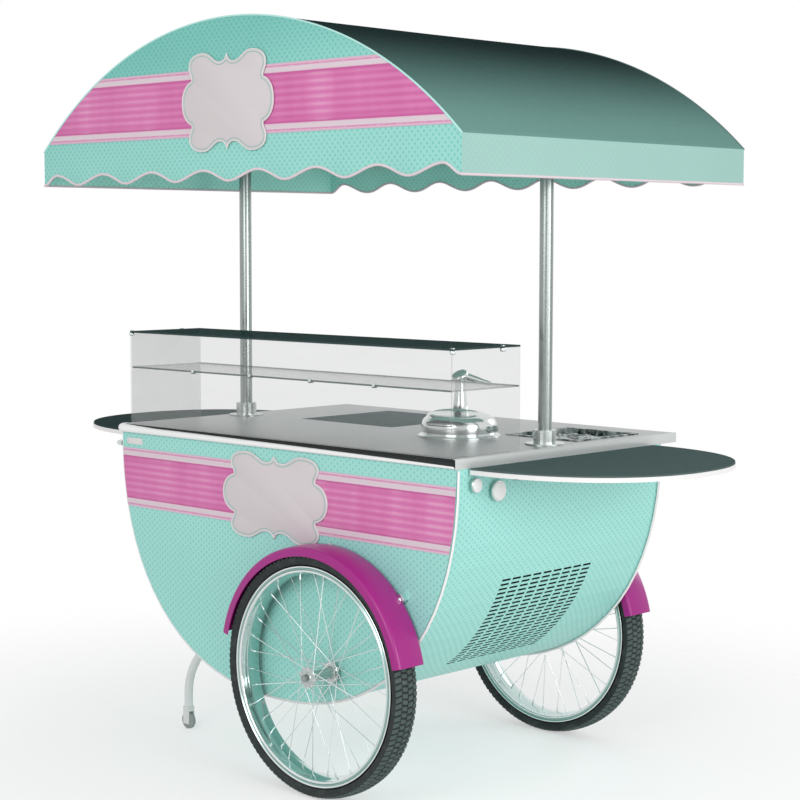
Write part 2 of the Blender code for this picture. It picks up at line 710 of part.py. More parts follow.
def canopy(mint):
    """The cloth: a barrel roof with straight skirts, and two arched ends with wavy hems."""
    half = CANOPY_HALF_WIDTH
    outer = [(-CANOPY_HALF_LENGTH, CANOPY_BOTTOM)] + canopy_arc() + [(CANOPY_HALF_LENGTH, CANOPY_BOTTOM)]
    inner = canopy_arc(CANOPY_SKIN)
    inner = [(inner[0][0], CANOPY_BOTTOM)] + inner + [(inner[-1][0], CANOPY_BOTTOM)]
    finish("canopy_roof", plate_mesh(outer + inner[::-1], -half, half), mint)
    inset = CANOPY_SKIN + SEAT_GAP
    arc = canopy_arc(inset)
    steps = SCALLOP_COUNT * SCALLOP_POINTS
    edge = CANOPY_HALF_LENGTH - inset
    hem = [edge - 2 * edge * i / steps for i in range(steps + 1)]
    outline = arc + [(x, scallop_z(x)) for x in hem]
    for name, side in (("near", -1), ("far", 1)):
        low = side * half
        high = side * (half - CANOPY_SKIN)
        finish("canopy_end_" + name, plate_mesh(outline, min(low, high), max(low, high)), mint)


def frame_arch():
    """The hoops' centre line, close under the roof, and how far out along Y they stand."""
    facet_angle = asin(CANOPY_HALF_LENGTH / CANOPY_ARC_RADIUS) / (CANOPY_ARC_POINTS - 1)
    sag = CANOPY_ARC_RADIUS * (1 - cos(facet_angle))
    inset = CANOPY_SKIN + SEAT_GAP + FRAME_RADIUS
    return canopy_arc(inset + sag, FRAME_ARC_POINTS), CANOPY_HALF_WIDTH - inset


def canopy_frame(steel):
    """Two arched hoops with their ties, joined by rails; the posts carry the two bearers."""
    arc, y = frame_arch()
    for name, side in (("near", -1), ("far", 1)):
        points = [(x, side * y, z) for x, z in arc]
        finish("canopy_hoop_" + name, tube_mesh(points, FRAME_RADIUS, cyclic=True), steel)
    reach = y - FRAME_RADIUS - SEAT_GAP
    height = arc[0][1]
    crown = max(z for x, z in arc)
    rails = [("canopy_ridge_rail", 0, crown)]
    for name, side in (("left", -1), ("right", 1)):
        rails.append(("canopy_bearer_" + name, side * POST_X, height))
        rails.append(("canopy_eave_rail_" + name, side * abs(arc[0][0]), height))
    for name, x, z in rails:
        finish(name, rod_mesh((x, -reach, z), (x, reach, z), FRAME_RADIUS), steel)


def tray_outline(inset=0):
    """Half a soft-cornered ellipse, from the tub's end outwards, in X and Y."""
    start = TUB_HALF_LENGTH + TRAY_START
    points = []
    for i in range(TRAY_POINTS + 1):
        angle = -pi / 2 + pi * i / TRAY_POINTS
        power = 2 / TRAY_EXPONENT
        x = start + (TRAY_LENGTH - inset) * max(cos(angle), 0) ** power
        side = 1 if angle > 0 else -1
        y = side * (TRAY_HALF_WIDTH - inset) * abs(sin(angle)) ** power
        points.append((x if 0 < i < TRAY_POINTS else start, y))
    return points


def trays(charcoal, white, steel):
    """The fold-down trays, each on two hinges below its inner edge."""
    top = WORKTOP_UNDER - SEAT_GAP
    mat_low = top - TRAY_MAT_THICK
    board_high = mat_low - SEAT_GAP
    board_low = board_high - TRAY_BOARD_THICK
    pin_x = TUB_HALF_LENGTH + TRAY_PIN_OUT
    pin_z = board_low - TRAY_PIN_DROP
    for name, side in (("left", -1), ("right", 1)):
        mirror = Matrix.Scale(side, 4, (1, 0, 0))
        origin = (side * pin_x, 0, pin_z)

        def place(mesh):
            mesh.transform(mirror)
            if side < 0:
                mesh.flip_normals()
            return mesh

        finish("tray_mat_" + name, place(flat_mesh(tray_outline(TRAY_MAT_INSET), mat_low, top)),
               charcoal, origin)
        board = flat_mesh(tray_outline(), board_low, board_high)
        eyes = []
        holes = []
        for y in (-TRAY_HINGE_Y, TRAY_HINGE_Y):
            low = y - TRAY_EYE_WIDTH / 2
            high = y + TRAY_EYE_WIDTH / 2
            eyes.append(rod_mesh((pin_x, low, pin_z), (pin_x, high, pin_z), TRAY_EYE_RADIUS))
            eyes.append(box_mesh((pin_x - TRAY_EYE_RADIUS, low, pin_z),
                                 (pin_x + TRAY_EYE_RADIUS, high, board_low + CUT_OVERRUN)))
            holes.append(rod_mesh((pin_x, low - CUT_OVERRUN, pin_z), (pin_x, high + CUT_OVERRUN, pin_z),
                                  TRAY_PIN_RADIUS + RUN_GAP))
        board = cut(joined(board, eyes), holes)
        finish("tray_board_" + name, place(board), white, origin)
        for end, y in (("near", -TRAY_HINGE_Y), ("far", TRAY_HINGE_Y)):
            finish("tray_bracket_{}_{}".format(name, end), place(tray_bracket(y, pin_x, pin_z)), steel)


def tray_bracket(y, pin_x, pin_z):
    """Two ears on a plate that follows the tub's end, with the hinge pin between them."""
    half = TRAY_EYE_WIDTH / 2 + RUN_GAP + TRAY_EAR_THICK
    low_z = pin_z - TRAY_EAR_HEIGHT / 2
    high_z = pin_z + TRAY_EYE_RADIUS
    steps = TRAY_BRACKET_STEPS
    heights = [high_z + (low_z - high_z) * i / steps for i in range(steps + 1)]
    back = [(tub_half_length(z) + SEAT_GAP, z) for z in heights]
    nose = pin_x + TRAY_EYE_RADIUS
    outline = back + [(pin_x, low_z + TRAY_EYE_RADIUS), (nose, pin_z - TRAY_PIN_RADIUS),
                      (nose, pin_z + TRAY_PIN_RADIUS), (pin_x + TRAY_PIN_RADIUS, high_z)]
    block = plate_mesh(outline, y - half, y + half)
    sweep = hypot(TRAY_EYE_RADIUS, TRAY_PIN_DROP) + MOVE_GAP
    slot = box_mesh((pin_x - sweep, y - TRAY_EYE_WIDTH / 2 - RUN_GAP, low_z - CUT_OVERRUN),
                    (nose + CUT_OVERRUN, y + TRAY_EYE_WIDTH / 2 + RUN_GAP, high_z + CUT_OVERRUN))
    pin = rod_mesh((pin_x, y - half + TRAY_EAR_THICK / 2, pin_z),
                   (pin_x, y + half - TRAY_EAR_THICK / 2, pin_z), TRAY_PIN_RADIUS)
    return joined(cut(block, [slot]), [pin])


def end_fittings(chrome):
    """Two round service fittings on the tub's right-hand end."""
    places = ((FITTING_SMALL_IN, FITTING_SMALL_DROP, FITTING_SMALL_RADIUS),
              (FITTING_LARGE_IN, FITTING_LARGE_DROP, FITTING_LARGE_RADIUS))
    for number, (inwards, drop, radius) in enumerate(places, 1):
        y = inwards - TUB_HALF_WIDTH
        z = WORKTOP_HEIGHT - drop
        neck = radius * FITTING_NECK_SHARE
        x = tub_half_length(z + neck) + SEAT_GAP
        profile = scaled(FITTING_SHARES, radius, FITTING_DEPTH)
        profile += [(neck, FITTING_DEPTH * FITTING_NECK_HEIGHT_SHARE), (neck, 0), (0, 0)]
        mesh = turned_mesh(profile, FITTING_SIDES)
        mesh.transform(Matrix.Translation((x, y, z)) @ Matrix.Rotation(pi / 2, 4, "Y"))
        finish("end_fitting_{}".format(number), mesh, chrome)


def wheel_profile_tyre():
    """The tyre's closed section: its bead between the rim's lips, its walls and its tread."""
    bead_half = RIM_WIDTH / 2 - RIM_WALL - SEAT_GAP
    bead_low = RIM_RADIUS - RIM_LIP + SEAT_GAP
    shoulder = RIM_RADIUS + SEAT_GAP * 2
    half = TYRE_WIDTH / 2
    tread = TYRE_RADIUS
    points = [(bead_low, bead_half), (shoulder + SEAT_GAP, bead_half)]
    height = tread - shoulder
    points += [(shoulder + height * rise, half * out) for rise, out in TYRE_WALL_SHARES]
    return points + [(radius, -y) for radius, y in points[::-1]]


def wheels(rubber, chrome):
    """Two wire wheels: a tyre each, and a rim, spokes and hub that are one body."""
    for name, side in (("near", -1), ("far", 1)):
        centre = (WHEEL_X, side * WHEEL_Y, TYRE_RADIUS)
        tyre = turned_mesh(wheel_profile_tyre(), WHEEL_STEPS, closed=True)
        finish("tyre_" + name, along_y(tyre, *centre), rubber, centre)
        wire = wheel_wire()
        finish("wheel_" + name, along_y(wire, *centre, flip=side < 0), chrome, centre)


def wheel_wire():
    """Rim, hub and crossed spokes about Z, with the outer side up."""
    half = RIM_WIDTH / 2
    floor = RIM_RADIUS - RIM_LIP
    inner = RIM_RADIUS - RIM_DEPTH
    rim = turned_mesh([(RIM_RADIUS, half), (RIM_RADIUS, half - RIM_WALL), (floor, half - RIM_WALL),
                       (floor, -half + RIM_WALL), (RIM_RADIUS, -half + RIM_WALL), (RIM_RADIUS, -half),
                       (inner + RIM_WALL, -half), (inner, -half + RIM_LIP), (inner, half - RIM_LIP),
                       (inner + RIM_WALL, half)], WHEEL_STEPS, closed=True)
    spread = HUB_FLANGE_SPREAD / 2
    bore = AXLE_RADIUS + RUN_GAP
    nose = spread + HUB_FLANGE_THICK + HUB_NOSE
    outside = spread + HUB_FLANGE_THICK
    hub = turned_mesh([(bore, nose), (HUB_BARREL_RADIUS, nose), (HUB_BARREL_RADIUS, outside),
                       (HUB_FLANGE_RADIUS, outside), (HUB_FLANGE_RADIUS, spread),
                       (HUB_BARREL_RADIUS, spread), (HUB_BARREL_RADIUS, -spread),
                       (HUB_FLANGE_RADIUS, -spread), (HUB_FLANGE_RADIUS, -outside),
                       (bore, -outside)], HUB_SIDES, closed=True)
    spokes = []
    per_side = SPOKE_COUNT // 2
    pitch = 2 * pi / per_side
    hole_radius = HUB_FLANGE_RADIUS - SPOKE_BITE
    stop_radius = inner + RIM_WALL
    for flange, phase in zip((-1, 1), SPOKE_PHASE_SHARES):
        for i in range(per_side):
            lean = 1 if i % 2 else -1
            end_angle = pitch * (i + phase)
            hub_angle = end_angle + lean * pitch * SPOKE_CROSSING / 2
            z = flange * (spread + HUB_FLANGE_THICK / 2) + lean * SPOKE_SIDE_STEP
            start = (hole_radius * cos(hub_angle), hole_radius * sin(hub_angle), z)
            end_z = flange * RIM_LIP / 2 + lean * SPOKE_SIDE_STEP
            end = (stop_radius * cos(end_angle), stop_radius * sin(end_angle), end_z)
            spokes.append(rod_mesh(start, end, SPOKE_RADIUS, SPOKE_SIDES))
    return joined(rim, [hub] + spokes)


def axle(steel):
    """The through axle, with a nut outside each hub."""
    nose = WHEEL_Y + HUB_FLANGE_SPREAD / 2 + HUB_FLANGE_THICK + HUB_NOSE + RUN_GAP
    rod = rod_mesh((WHEEL_X, -nose - AXLE_NUT_LENGTH / 2, TYRE_RADIUS),
                   (WHEEL_X, nose + AXLE_NUT_LENGTH / 2, TYRE_RADIUS), AXLE_RADIUS)
    end = nose + AXLE_NUT_LENGTH
    nuts = [rod_mesh((WHEEL_X, side * nose, TYRE_RADIUS), (WHEEL_X, side * end, TYRE_RADIUS),
                     AXLE_NUT_RADIUS, NUT_SIDES) for side in (-1, 1)]
    finish("axle", joined(rod, nuts), steel)


def fenders(magenta):
    """The two crowned fenders, each on three tabs to its side panel."""
    radius = TYRE_RADIUS + FENDER_CLEARANCE
    half = FENDER_WIDTH / 2
    for name, side in (("near", -1), ("far", 1)):
        profile = []
        for i in range(FENDER_ROWS + 1):
            across = -half + 2 * half * i / FENDER_ROWS
            profile.append((radius + FENDER_CROWN * (1 - (across / half) ** 2), across))
        mesh = bpy.data.meshes.new("fender")
        tip = FENDER_TIP_ANGLE
        verts = [(r * cos(tip), y, r * sin(tip)) for r, y in profile]
        mesh.from_pydata(verts, [(i, i + 1) for i in range(FENDER_ROWS)], [])
        made = temporary(mesh)
        screw = made.modifiers.new("sweep", "SCREW")
        screw.axis = "Y"
        screw.angle = -(pi - 2 * tip)
        screw.steps = FENDER_STEPS
        screw.render_steps = FENDER_STEPS
        screw.use_merge_vertices = False
        wall = made.modifiers.new("wall", "SOLIDIFY")
        wall.thickness = FENDER_THICK
        wall.offset = 0
        made.location = (WHEEL_X, side * WHEEL_Y, TYRE_RADIUS)
        mesh = mesh_of(made)
        tabs = [fender_tab(side, radius, angle) for angle in FENDER_TAB_ANGLES]
        mesh = joined(mesh, tabs)
        finish("fender_" + name, mesh, magenta)


def fender_tab(side, radius, angle):
    """A tab from a fender's inner edge to the side panel."""
    face = TUB_HALF_WIDTH + SEAT_GAP
    low = radius - FENDER_TAB_SINK
    mesh = box_mesh((low, face, -FENDER_TAB_WIDTH / 2),
                    (low + FENDER_TAB_THICK, face + FENDER_TAB_DEPTH, FENDER_TAB_WIDTH / 2))
    mesh.transform(Matrix.Translation((WHEEL_X, 0, TYRE_RADIUS)) @ Matrix.Rotation(-angle, 4, "Y"))
    if side < 0:
        mesh.transform(Matrix.Scale(-1, 4, (0, 1, 0)))
        mesh.flip_normals()
    return mesh


def leg_pivot():
    return (LEG_PIVOT_X, LEG_Y, tub_z(LEG_PIVOT_X) - LEG_PIVOT_DROP)


def parking_leg(steel, rubber):
    """The folding leg: a bracket under the tub, a bent tube, a fork and a small wheel."""
    pivot_x, y, pivot_z = leg_pivot()
    half = LEG_EYE_WIDTH / 2 + RUN_GAP + LEG_EAR_THICK
    reach = LEG_EYE_RADIUS + LEG_EAR_REACH
    steps = LEG_BRACKET_STEPS
    top = [(pivot_x - reach + 2 * reach * i / steps) for i in range(steps + 1)]
    outline = [(x, tub_z(x) - SEAT_GAP) for x in top]
    outline += [(pivot_x + LEG_EYE_RADIUS, pivot_z - LEG_PIN_RADIUS), (pivot_x, pivot_z - LEG_EYE_RADIUS),
                (pivot_x - LEG_EYE_RADIUS, pivot_z - LEG_PIN_RADIUS)]
    block = plate_mesh(outline, y - half, y + half)
    slot_half = LEG_EYE_WIDTH / 2 + RUN_GAP
    slot = box_mesh((pivot_x - reach - CUT_OVERRUN, y - slot_half, pivot_z - 2 * LEG_EYE_RADIUS),
                    (pivot_x + reach + CUT_OVERRUN, y + slot_half, pivot_z + LEG_EYE_RADIUS + RUN_GAP))
    pin = rod_mesh((pivot_x, y - half + LEG_EAR_THICK / 2, pivot_z),
                   (pivot_x, y + half - LEG_EAR_THICK / 2, pivot_z), LEG_PIN_RADIUS)
    finish("leg_bracket", joined(cut(block, [slot]), [pin]), steel)
    fork_low = LEG_WHEEL_RADIUS * 2 + MOVE_GAP / 2
    fork_high = fork_low + LEG_FORK_HEIGHT
    tube = tube_mesh(leg_route(pivot_x, y, pivot_z, fork_high + SEAT_GAP), LEG_RADIUS, LEG_RESOLUTION)
    eye = rod_mesh((pivot_x, y - LEG_EYE_WIDTH / 2, pivot_z), (pivot_x, y + LEG_EYE_WIDTH / 2, pivot_z),
                   LEG_EYE_RADIUS)
    hole = rod_mesh((pivot_x, y - LEG_EYE_WIDTH, pivot_z), (pivot_x, y + LEG_EYE_WIDTH, pivot_z),
                    LEG_PIN_RADIUS + RUN_GAP)
    finish("leg_tube", cut(joined(tube, [eye]), [hole]), steel, (pivot_x, y, pivot_z))
    cheek = LEG_WHEEL_WIDTH / 2 + RUN_GAP + LEG_FORK_CHEEK
    axle_z = LEG_WHEEL_RADIUS
    fork = box_mesh((LEG_FOOT_X - LEG_RADIUS, y - cheek, axle_z - 2 * LEG_PIN_RADIUS),
                    (LEG_FOOT_X + LEG_RADIUS, y + cheek, fork_high))
    gap = box_mesh((LEG_FOOT_X - LEG_RADIUS - CUT_OVERRUN, y - cheek + LEG_FORK_CHEEK,
                    axle_z - 2 * LEG_PIN_RADIUS - CUT_OVERRUN),
                   (LEG_FOOT_X + LEG_RADIUS + CUT_OVERRUN, y + cheek - LEG_FORK_CHEEK, fork_low))
    wheel_pin = rod_mesh((LEG_FOOT_X, y - cheek + LEG_FORK_CHEEK / 2, axle_z),
                         (LEG_FOOT_X, y + cheek - LEG_FORK_CHEEK / 2, axle_z), LEG_PIN_RADIUS)
    finish("leg_fork", joined(cut(fork, [gap]), [wheel_pin]), steel, (pivot_x, y, pivot_z))
    bore = LEG_PIN_RADIUS + RUN_GAP
    rim = LEG_WHEEL_RADIUS
    profile = [(bore, LEG_WHEEL_WIDTH / 2), (rim - LEG_FORK_CHEEK, LEG_WHEEL_WIDTH / 2),
               (rim, LEG_WHEEL_WIDTH / 2 - LEG_FORK_CHEEK), (rim, -LEG_WHEEL_WIDTH / 2 + LEG_FORK_CHEEK),
               (rim - LEG_FORK_CHEEK, -LEG_WHEEL_WIDTH / 2), (bore, -LEG_WHEEL_WIDTH / 2)]
    wheel = turned_mesh(profile, ROUND_SIDES, closed=True)
    centre = (LEG_FOOT_X, y, axle_z)
    finish("leg_wheel", along_y(wheel, *centre), rubber, centre)


def leg_route(pivot_x, y, pivot_z, foot_z):
    """A quarter bend from the pivot out and down to the foot."""
    start = Vector((pivot_x, y, pivot_z))
    end = Vector((LEG_FOOT_X, y, foot_z + LEG_STRAIGHT))
    corner = Vector((LEG_FOOT_X, y, foot_z + (pivot_z - foot_z) * LEG_CORNER_SHARE))
    points = []
    for i in range(LEG_BEND_POINTS + 1):
        share = i / LEG_BEND_POINTS
        points.append(start * (1 - share) ** 2 + corner * 2 * share * (1 - share) + end * share ** 2)
    out = (points[1] - points[0]).normalized() * (LEG_PIN_RADIUS + RUN_GAP * 2)
    return [points[0] + out] + points[1:] + [Vector((LEG_FOOT_X, y, foot_z))]


def basin(chrome):
    """The small basin on the worktop, with a sloped front, a dished bowl, a slot and two knobs."""
    foot = WORKTOP_HEIGHT + SEAT_GAP
    shoulder = []
    for i in range(BASIN_SHOULDER_STEPS + 1):
        angle = pi / 2 * (1 - i / BASIN_SHOULDER_STEPS)
        shoulder.append((BASIN_RADIUS - BASIN_SHOULDER * (1 - cos(angle)),
                         BASIN_HEIGHT - BASIN_SHOULDER * (1 - sin(angle))))
    profile = [(0, BASIN_HEIGHT)] + shoulder + [(BASIN_RADIUS, BASIN_FLANGE_THICK),
                                                (BASIN_FLANGE_RADIUS, BASIN_FLANGE_THICK),
                                                (BASIN_FLANGE_RADIUS, 0), (0, 0)]
    knobs = []
    for angle in KNOB_ANGLES:
        out = Vector((sin(angle), -cos(angle), 0))
        rise = Vector((0, 0, KNOB_RISE))
        knobs.append(rod_mesh(out * (BASIN_RADIUS - KNOB_REACH) + rise,
                              out * (BASIN_RADIUS + KNOB_REACH) + rise, KNOB_RADIUS))
    drum = joined(turned_mesh(profile), knobs)
    face = Matrix.Translation((0, -BASIN_SLOPE_START, BASIN_HEIGHT)) @ Matrix.Rotation(BASIN_SLOPE, 4, "X")
    above = box_mesh((-BASIN_FLANGE_RADIUS, -2 * BASIN_FLANGE_RADIUS, 0),
                     (BASIN_FLANGE_RADIUS, 0, BASIN_HEIGHT))
    above.transform(face)
    dish = turned_mesh([(0, CUT_OVERRUN), (BOWL_HALF_WIDTH, CUT_OVERRUN)]
                       + scaled(BOWL_SHARES, BOWL_HALF_WIDTH, BOWL_DROP)[::-1])
    dish.transform(face @ Matrix.Translation((0, -BOWL_FORWARD, 0))
                   @ Matrix.Scale(BOWL_HALF_DEPTH / BOWL_HALF_WIDTH, 4, (0, 1, 0)))
    slot = box_mesh((-SLOT_WIDTH / 2, -BASIN_RADIUS - CUT_OVERRUN, SLOT_RISE),
                    (SLOT_WIDTH / 2, SLOT_DEPTH - BASIN_RADIUS, SLOT_RISE + SLOT_HEIGHT))
    mesh = cut(cut(drum, [above]), [dish, slot])
    mesh.transform(Matrix.Translation((BASIN_X, BASIN_Y, foot)) @ Matrix.Rotation(BASIN_TURN, 4, "Z"))
    finish("basin", mesh, chrome)


def basin_tap(chrome):
    """The column behind the bowl, with a tilted round head that has a shallow dish in its face."""
    column = turned_mesh([(0, TAP_HEIGHT), (TAP_RADIUS, TAP_HEIGHT), (TAP_RADIUS, TAP_FOOT_HEIGHT),
                          (TAP_FOOT_RADIUS, 0), (0, 0)])
    inner = HEAD_RADIUS - HEAD_EDGE
    head = turned_mesh([(0, HEAD_THICK - HEAD_DISH_DEPTH), (HEAD_DISH_RADIUS, HEAD_THICK - HEAD_DISH_DEPTH),
                        (HEAD_DISH_RADIUS, HEAD_THICK), (inner, HEAD_THICK),
                        (HEAD_RADIUS, HEAD_THICK - HEAD_EDGE), (HEAD_RADIUS, HEAD_EDGE), (inner, 0), (0, 0)])
    head.transform(Matrix.Translation((0, 0, TAP_HEIGHT - HEAD_EDGE)) @ Matrix.Rotation(HEAD_TILT, 4, "X")
                   @ Matrix.Translation((0, 0, -HEAD_EDGE)))
    mesh = joined(column, [head])
    foot = WORKTOP_HEIGHT + BASIN_HEIGHT + 2 * SEAT_GAP
    mesh.transform(Matrix.Translation((BASIN_X, BASIN_Y, foot)) @ Matrix.Rotation(BASIN_TURN, 4, "Z")
                   @ Matrix.Translation((0, TAP_BACK, 0)))
    finish("basin_tap", mesh, chrome)


def build():
    clear_scene()
    mint = material("mint_board", (0.27, 0.68, 0.58), 0.35, 0.0)
    cloth = material("mint_cloth", (0.27, 0.68, 0.58), 0.85, 0.0)
    magenta = material("magenta_paint", (0.52, 0.03, 0.30), 0.35, 0.0)
    white = material("white_board", (0.85, 0.85, 0.83), 0.4, 0.0)
    steel = material("brushed_steel", (0.45, 0.46, 0.46), 0.32, 1.0)
    chrome = material("chrome", (0.75, 0.76, 0.77), 0.12, 1.0)
    stone = material("cold_stone", (0.05, 0.08, 0.08), 0.3, 0.0)
    charcoal = material("charcoal_mat", (0.07, 0.09, 0.09), 0.8, 0.0)
    glass = material("glass", (0.85, 0.9, 0.9), 0.05, 0.0)
    rubber = material("rubber", (0.02, 0.025, 0.025), 0.75, 0.0)
    grey = material("unit_grey", (0.4, 0.4, 0.4), 0.6, 0.0)
    side_panels(mint)
    tub_shell(mint)
    pipings(white)
    inner_fittings(white, grey)
    vendor_door(mint, steel)
    worktop(steel, white, stone)
    posts(steel, chrome)
    glass_case(glass)
    canopy(cloth)
    canopy_frame(steel)
    trays(charcoal, white, steel)
    end_fittings(chrome)
    wheels(rubber, chrome)
    axle(steel)
    fenders(magenta)
    parking_leg(steel, rubber)
    basin(chrome)
    basin_tap(chrome)


build()
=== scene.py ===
"""Ice cream cart: the fine surfaces, cloth, trim and finishes that go over its solids."""

from math import atan2, cos, pi, radians, sin, sqrt

import bmesh
import bpy
from bpy.props import FloatProperty, FloatVectorProperty, IntProperty, PointerProperty
from mathutils import Matrix, Vector, noise


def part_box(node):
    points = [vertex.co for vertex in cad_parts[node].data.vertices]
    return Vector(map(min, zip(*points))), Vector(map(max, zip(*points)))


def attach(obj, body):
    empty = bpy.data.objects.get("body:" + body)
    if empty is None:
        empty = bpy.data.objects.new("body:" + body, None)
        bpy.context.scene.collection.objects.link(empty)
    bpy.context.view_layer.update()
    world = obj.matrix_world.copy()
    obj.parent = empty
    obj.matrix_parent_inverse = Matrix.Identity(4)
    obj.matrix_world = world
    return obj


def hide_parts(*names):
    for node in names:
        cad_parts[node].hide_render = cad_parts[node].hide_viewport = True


bl_info = {
    "name": "Ice Cream Cart",
    "version": (1, 0, 0),
    "blender": (4, 5, 0),
    "location": "3D View > Sidebar > Cart",
    "description": "Cloth, trim, tyres and finishes for an ice cream cart",
    "category": "Object",
}

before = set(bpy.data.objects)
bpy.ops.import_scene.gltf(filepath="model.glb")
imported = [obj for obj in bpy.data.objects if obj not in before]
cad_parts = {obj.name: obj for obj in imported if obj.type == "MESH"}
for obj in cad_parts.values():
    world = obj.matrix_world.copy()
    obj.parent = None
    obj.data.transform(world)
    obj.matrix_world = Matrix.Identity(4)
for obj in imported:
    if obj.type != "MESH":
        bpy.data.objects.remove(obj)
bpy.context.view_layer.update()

SIDES = (("near", -1), ("far", 1))
SMOOTH_ANGLE = radians(35)
TUB_EXPONENT = 2.25
CLAMP_Y = -0.228
RIM_LIP_RISE = 0.0070
TREAD_INSET = 0.0025
PANEL_LOW, PANEL_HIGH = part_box("side_panel_near")
TUB_HALF = PANEL_HIGH.x
TUB_FACE = PANEL_HIGH.z
TUB_DROP = PANEL_HIGH.z - PANEL_LOW.z
PANEL_Y = -PANEL_LOW.y
ROOF_LOW, ROOF_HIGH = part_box("canopy_roof")
TYRE_LOW, TYRE_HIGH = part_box("tyre_near")
WHEEL_LOW, WHEEL_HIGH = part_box("wheel_near")
WHEEL_CENTRE = (TYRE_LOW + TYRE_HIGH) / 2
TYRE_RADIUS = (TYRE_HIGH.z - TYRE_LOW.z) / 2
TREAD_HALF = (TYRE_HIGH.y - TYRE_LOW.y) / 2 - TREAD_INSET
RIM_LIP = (WHEEL_HIGH.z - WHEEL_LOW.z) / 2 + RIM_LIP_RISE


def tone(red, green, blue):
    """A colour as it looks on screen, from 0 to 255, in the linear values that shaders take."""
    shares = [value / 255 for value in (red, green, blue)]
    return tuple(s / 12.92 if s <= 0.04045 else ((s + 0.055) / 1.055) ** 2.4 for s in shares)


# Sizes and colours


def colour(name, description, shade):
    """A colour that a user may change."""
    return FloatVectorProperty(name=name, description=description, subtype="COLOR", size=3,
                               min=0, max=1, default=tone(*shade))


def length(name, description, default, low=0.0, high=2.0):
    """A length that a user may change."""
    return FloatProperty(name=name, description=description, default=default, min=low, max=high,
                         unit="LENGTH", subtype="DISTANCE", precision=4)


class CartColours(bpy.types.PropertyGroup):
    """Colours of the cart's finishes."""

    mint: colour("Mint", "Board and cloth between the dots", (158, 218, 209))
    mint_dot: colour("Mint dots", "Small dots printed on board and cloth", (116, 194, 182))
    # Painted shade: the roof colours are darker than the ends and deepen from eave to ridge.
    roof: colour("Roof", "Roof cloth along the ridge", (36, 50, 50))
    roof_eave: colour("Roof eave", "Roof cloth beside the eaves", (110, 150, 143))
    skirt: colour("Skirt", "Straight side skirts of the canopy", (162, 199, 191))
    ribbon: colour("Ribbon", "Pink satin band", (226, 140, 190))
    # Painted shade: the darker satin colour in the rib troughs, dark patches and edges.
    ribbon_dark: colour("Ribbon folds", "Darker ribs of the satin band", (196, 86, 152))
    lace: colour("Lace", "Pale edging of the ribbon", (220, 206, 213))
    # Painted light: a brighter copy of the mint cloth for the inner face.
    inside: colour("Inside", "Inner face of the canopy's cloth", (186, 247, 236))
    plate: colour("Plate", "Blank scalloped plates", (208, 201, 203))
    magenta: colour("Fender paint", "Gloss paint of the fenders", (158, 30, 126))
    white: colour("White", "Piping, boards and beads", (232, 230, 230))
    piping: colour("Hem piping", "Piping of the canopy's hems", (220, 205, 211))
    steel: colour("Steel", "Brushed steel of the worktop", (172, 174, 174))
    chrome: colour("Chrome", "Rims, hubs and fittings", (222, 228, 227))
    rubber: colour("Rubber", "Tyre walls", (27, 35, 35))
    tread: colour("Tread", "Blocks of the tyres' tread", (66, 82, 79))
    mat: colour("Mat", "Textured top of the right tray", (84, 100, 99))
    # Painted shade: the left mat is a darker copy of the right one.
    mat_left: colour("Left mat", "Textured top of the left tray", (58, 72, 72))
    stone: colour("Cold plate", "Speckled cold plate", (98, 110, 112))
    glass: colour("Glass", "Panes of the display case", (164, 168, 167))
    glass_top: colour("Smoked glass", "Top pane of the display case", (58, 76, 75))


class CartSizes(bpy.types.PropertyGroup):
    """Sizes of the cart's trim."""

    canopy_dots: length("Canopy dots", "Distance between the canopy's dots", 0.0200, 0.004, 0.05)
    tub_dots: length("Tub dots", "Distance between the tub's dots", 0.0238, 0.004, 0.05)
    tub_dot_rows: length("Tub dot rows", "Height of two rows of dots", 0.0180, 0.004, 0.05)
    skirt_depth: length("Skirt depth", "Height of the canopy's straight skirts", 0.099, 0.03, 0.3)
    cloth_thickness: length("Cloth thickness", "Thickness of the cloth", 0.0016, 0.0005, 0.004)
    scallop_length: length("Scallop length", "Length of one wave of the hem", 0.2236, 0.05, 0.5)
    scallop_drop: length("Scallop drop", "Height of one wave of the hem", 0.029, 0.005, 0.08)
    piping_radius: length("Piping radius", "Radius of the canopy's piping", 0.0036, 0.001, 0.01)
    canopy_ribbon_low: length("Canopy ribbon low", "Lower edge of the canopy's ribbon", 1.794)
    canopy_ribbon_high: length("Canopy ribbon high", "Upper edge of the canopy's ribbon", 1.975)
    tub_ribbon_low: length("Tub ribbon low", "Lower edge of the tub's ribbon", 0.706)
    tub_ribbon_high: length("Tub ribbon high", "Upper edge of the tub's ribbon", 0.884)
    lace_height: length("Lace height", "Height of each lace edging", 0.025, 0.005, 0.06)
    tread_depth: length("Tread depth", "Depth of the tread's grooves", 0.0032, 0.001, 0.008)
    spoke_radius: length("Spoke radius", "Radius of a spoke", 0.0012, 0.0005, 0.004)


class CartCounts(bpy.types.PropertyGroup):
    """How many of each repeated piece the cart has."""

    tread_rows: IntProperty(name="Tread rows", description="Rows of blocks round a tyre",
                            default=120, min=24, max=180)
    spokes: IntProperty(name="Spokes", description="Spokes in a wheel, a multiple of four",
                        default=36, min=12, max=48)


# Finishes


def step(operation, swapped=False):
    """A method that puts a wire, and what is given with it, through one maths node."""
    def method(self, *others):
        values = others + (self,) if swapped else (self,) + others
        return self.finish.node("ShaderNodeMath", {"operation": operation},
                                dict(enumerate(values)))
    return method


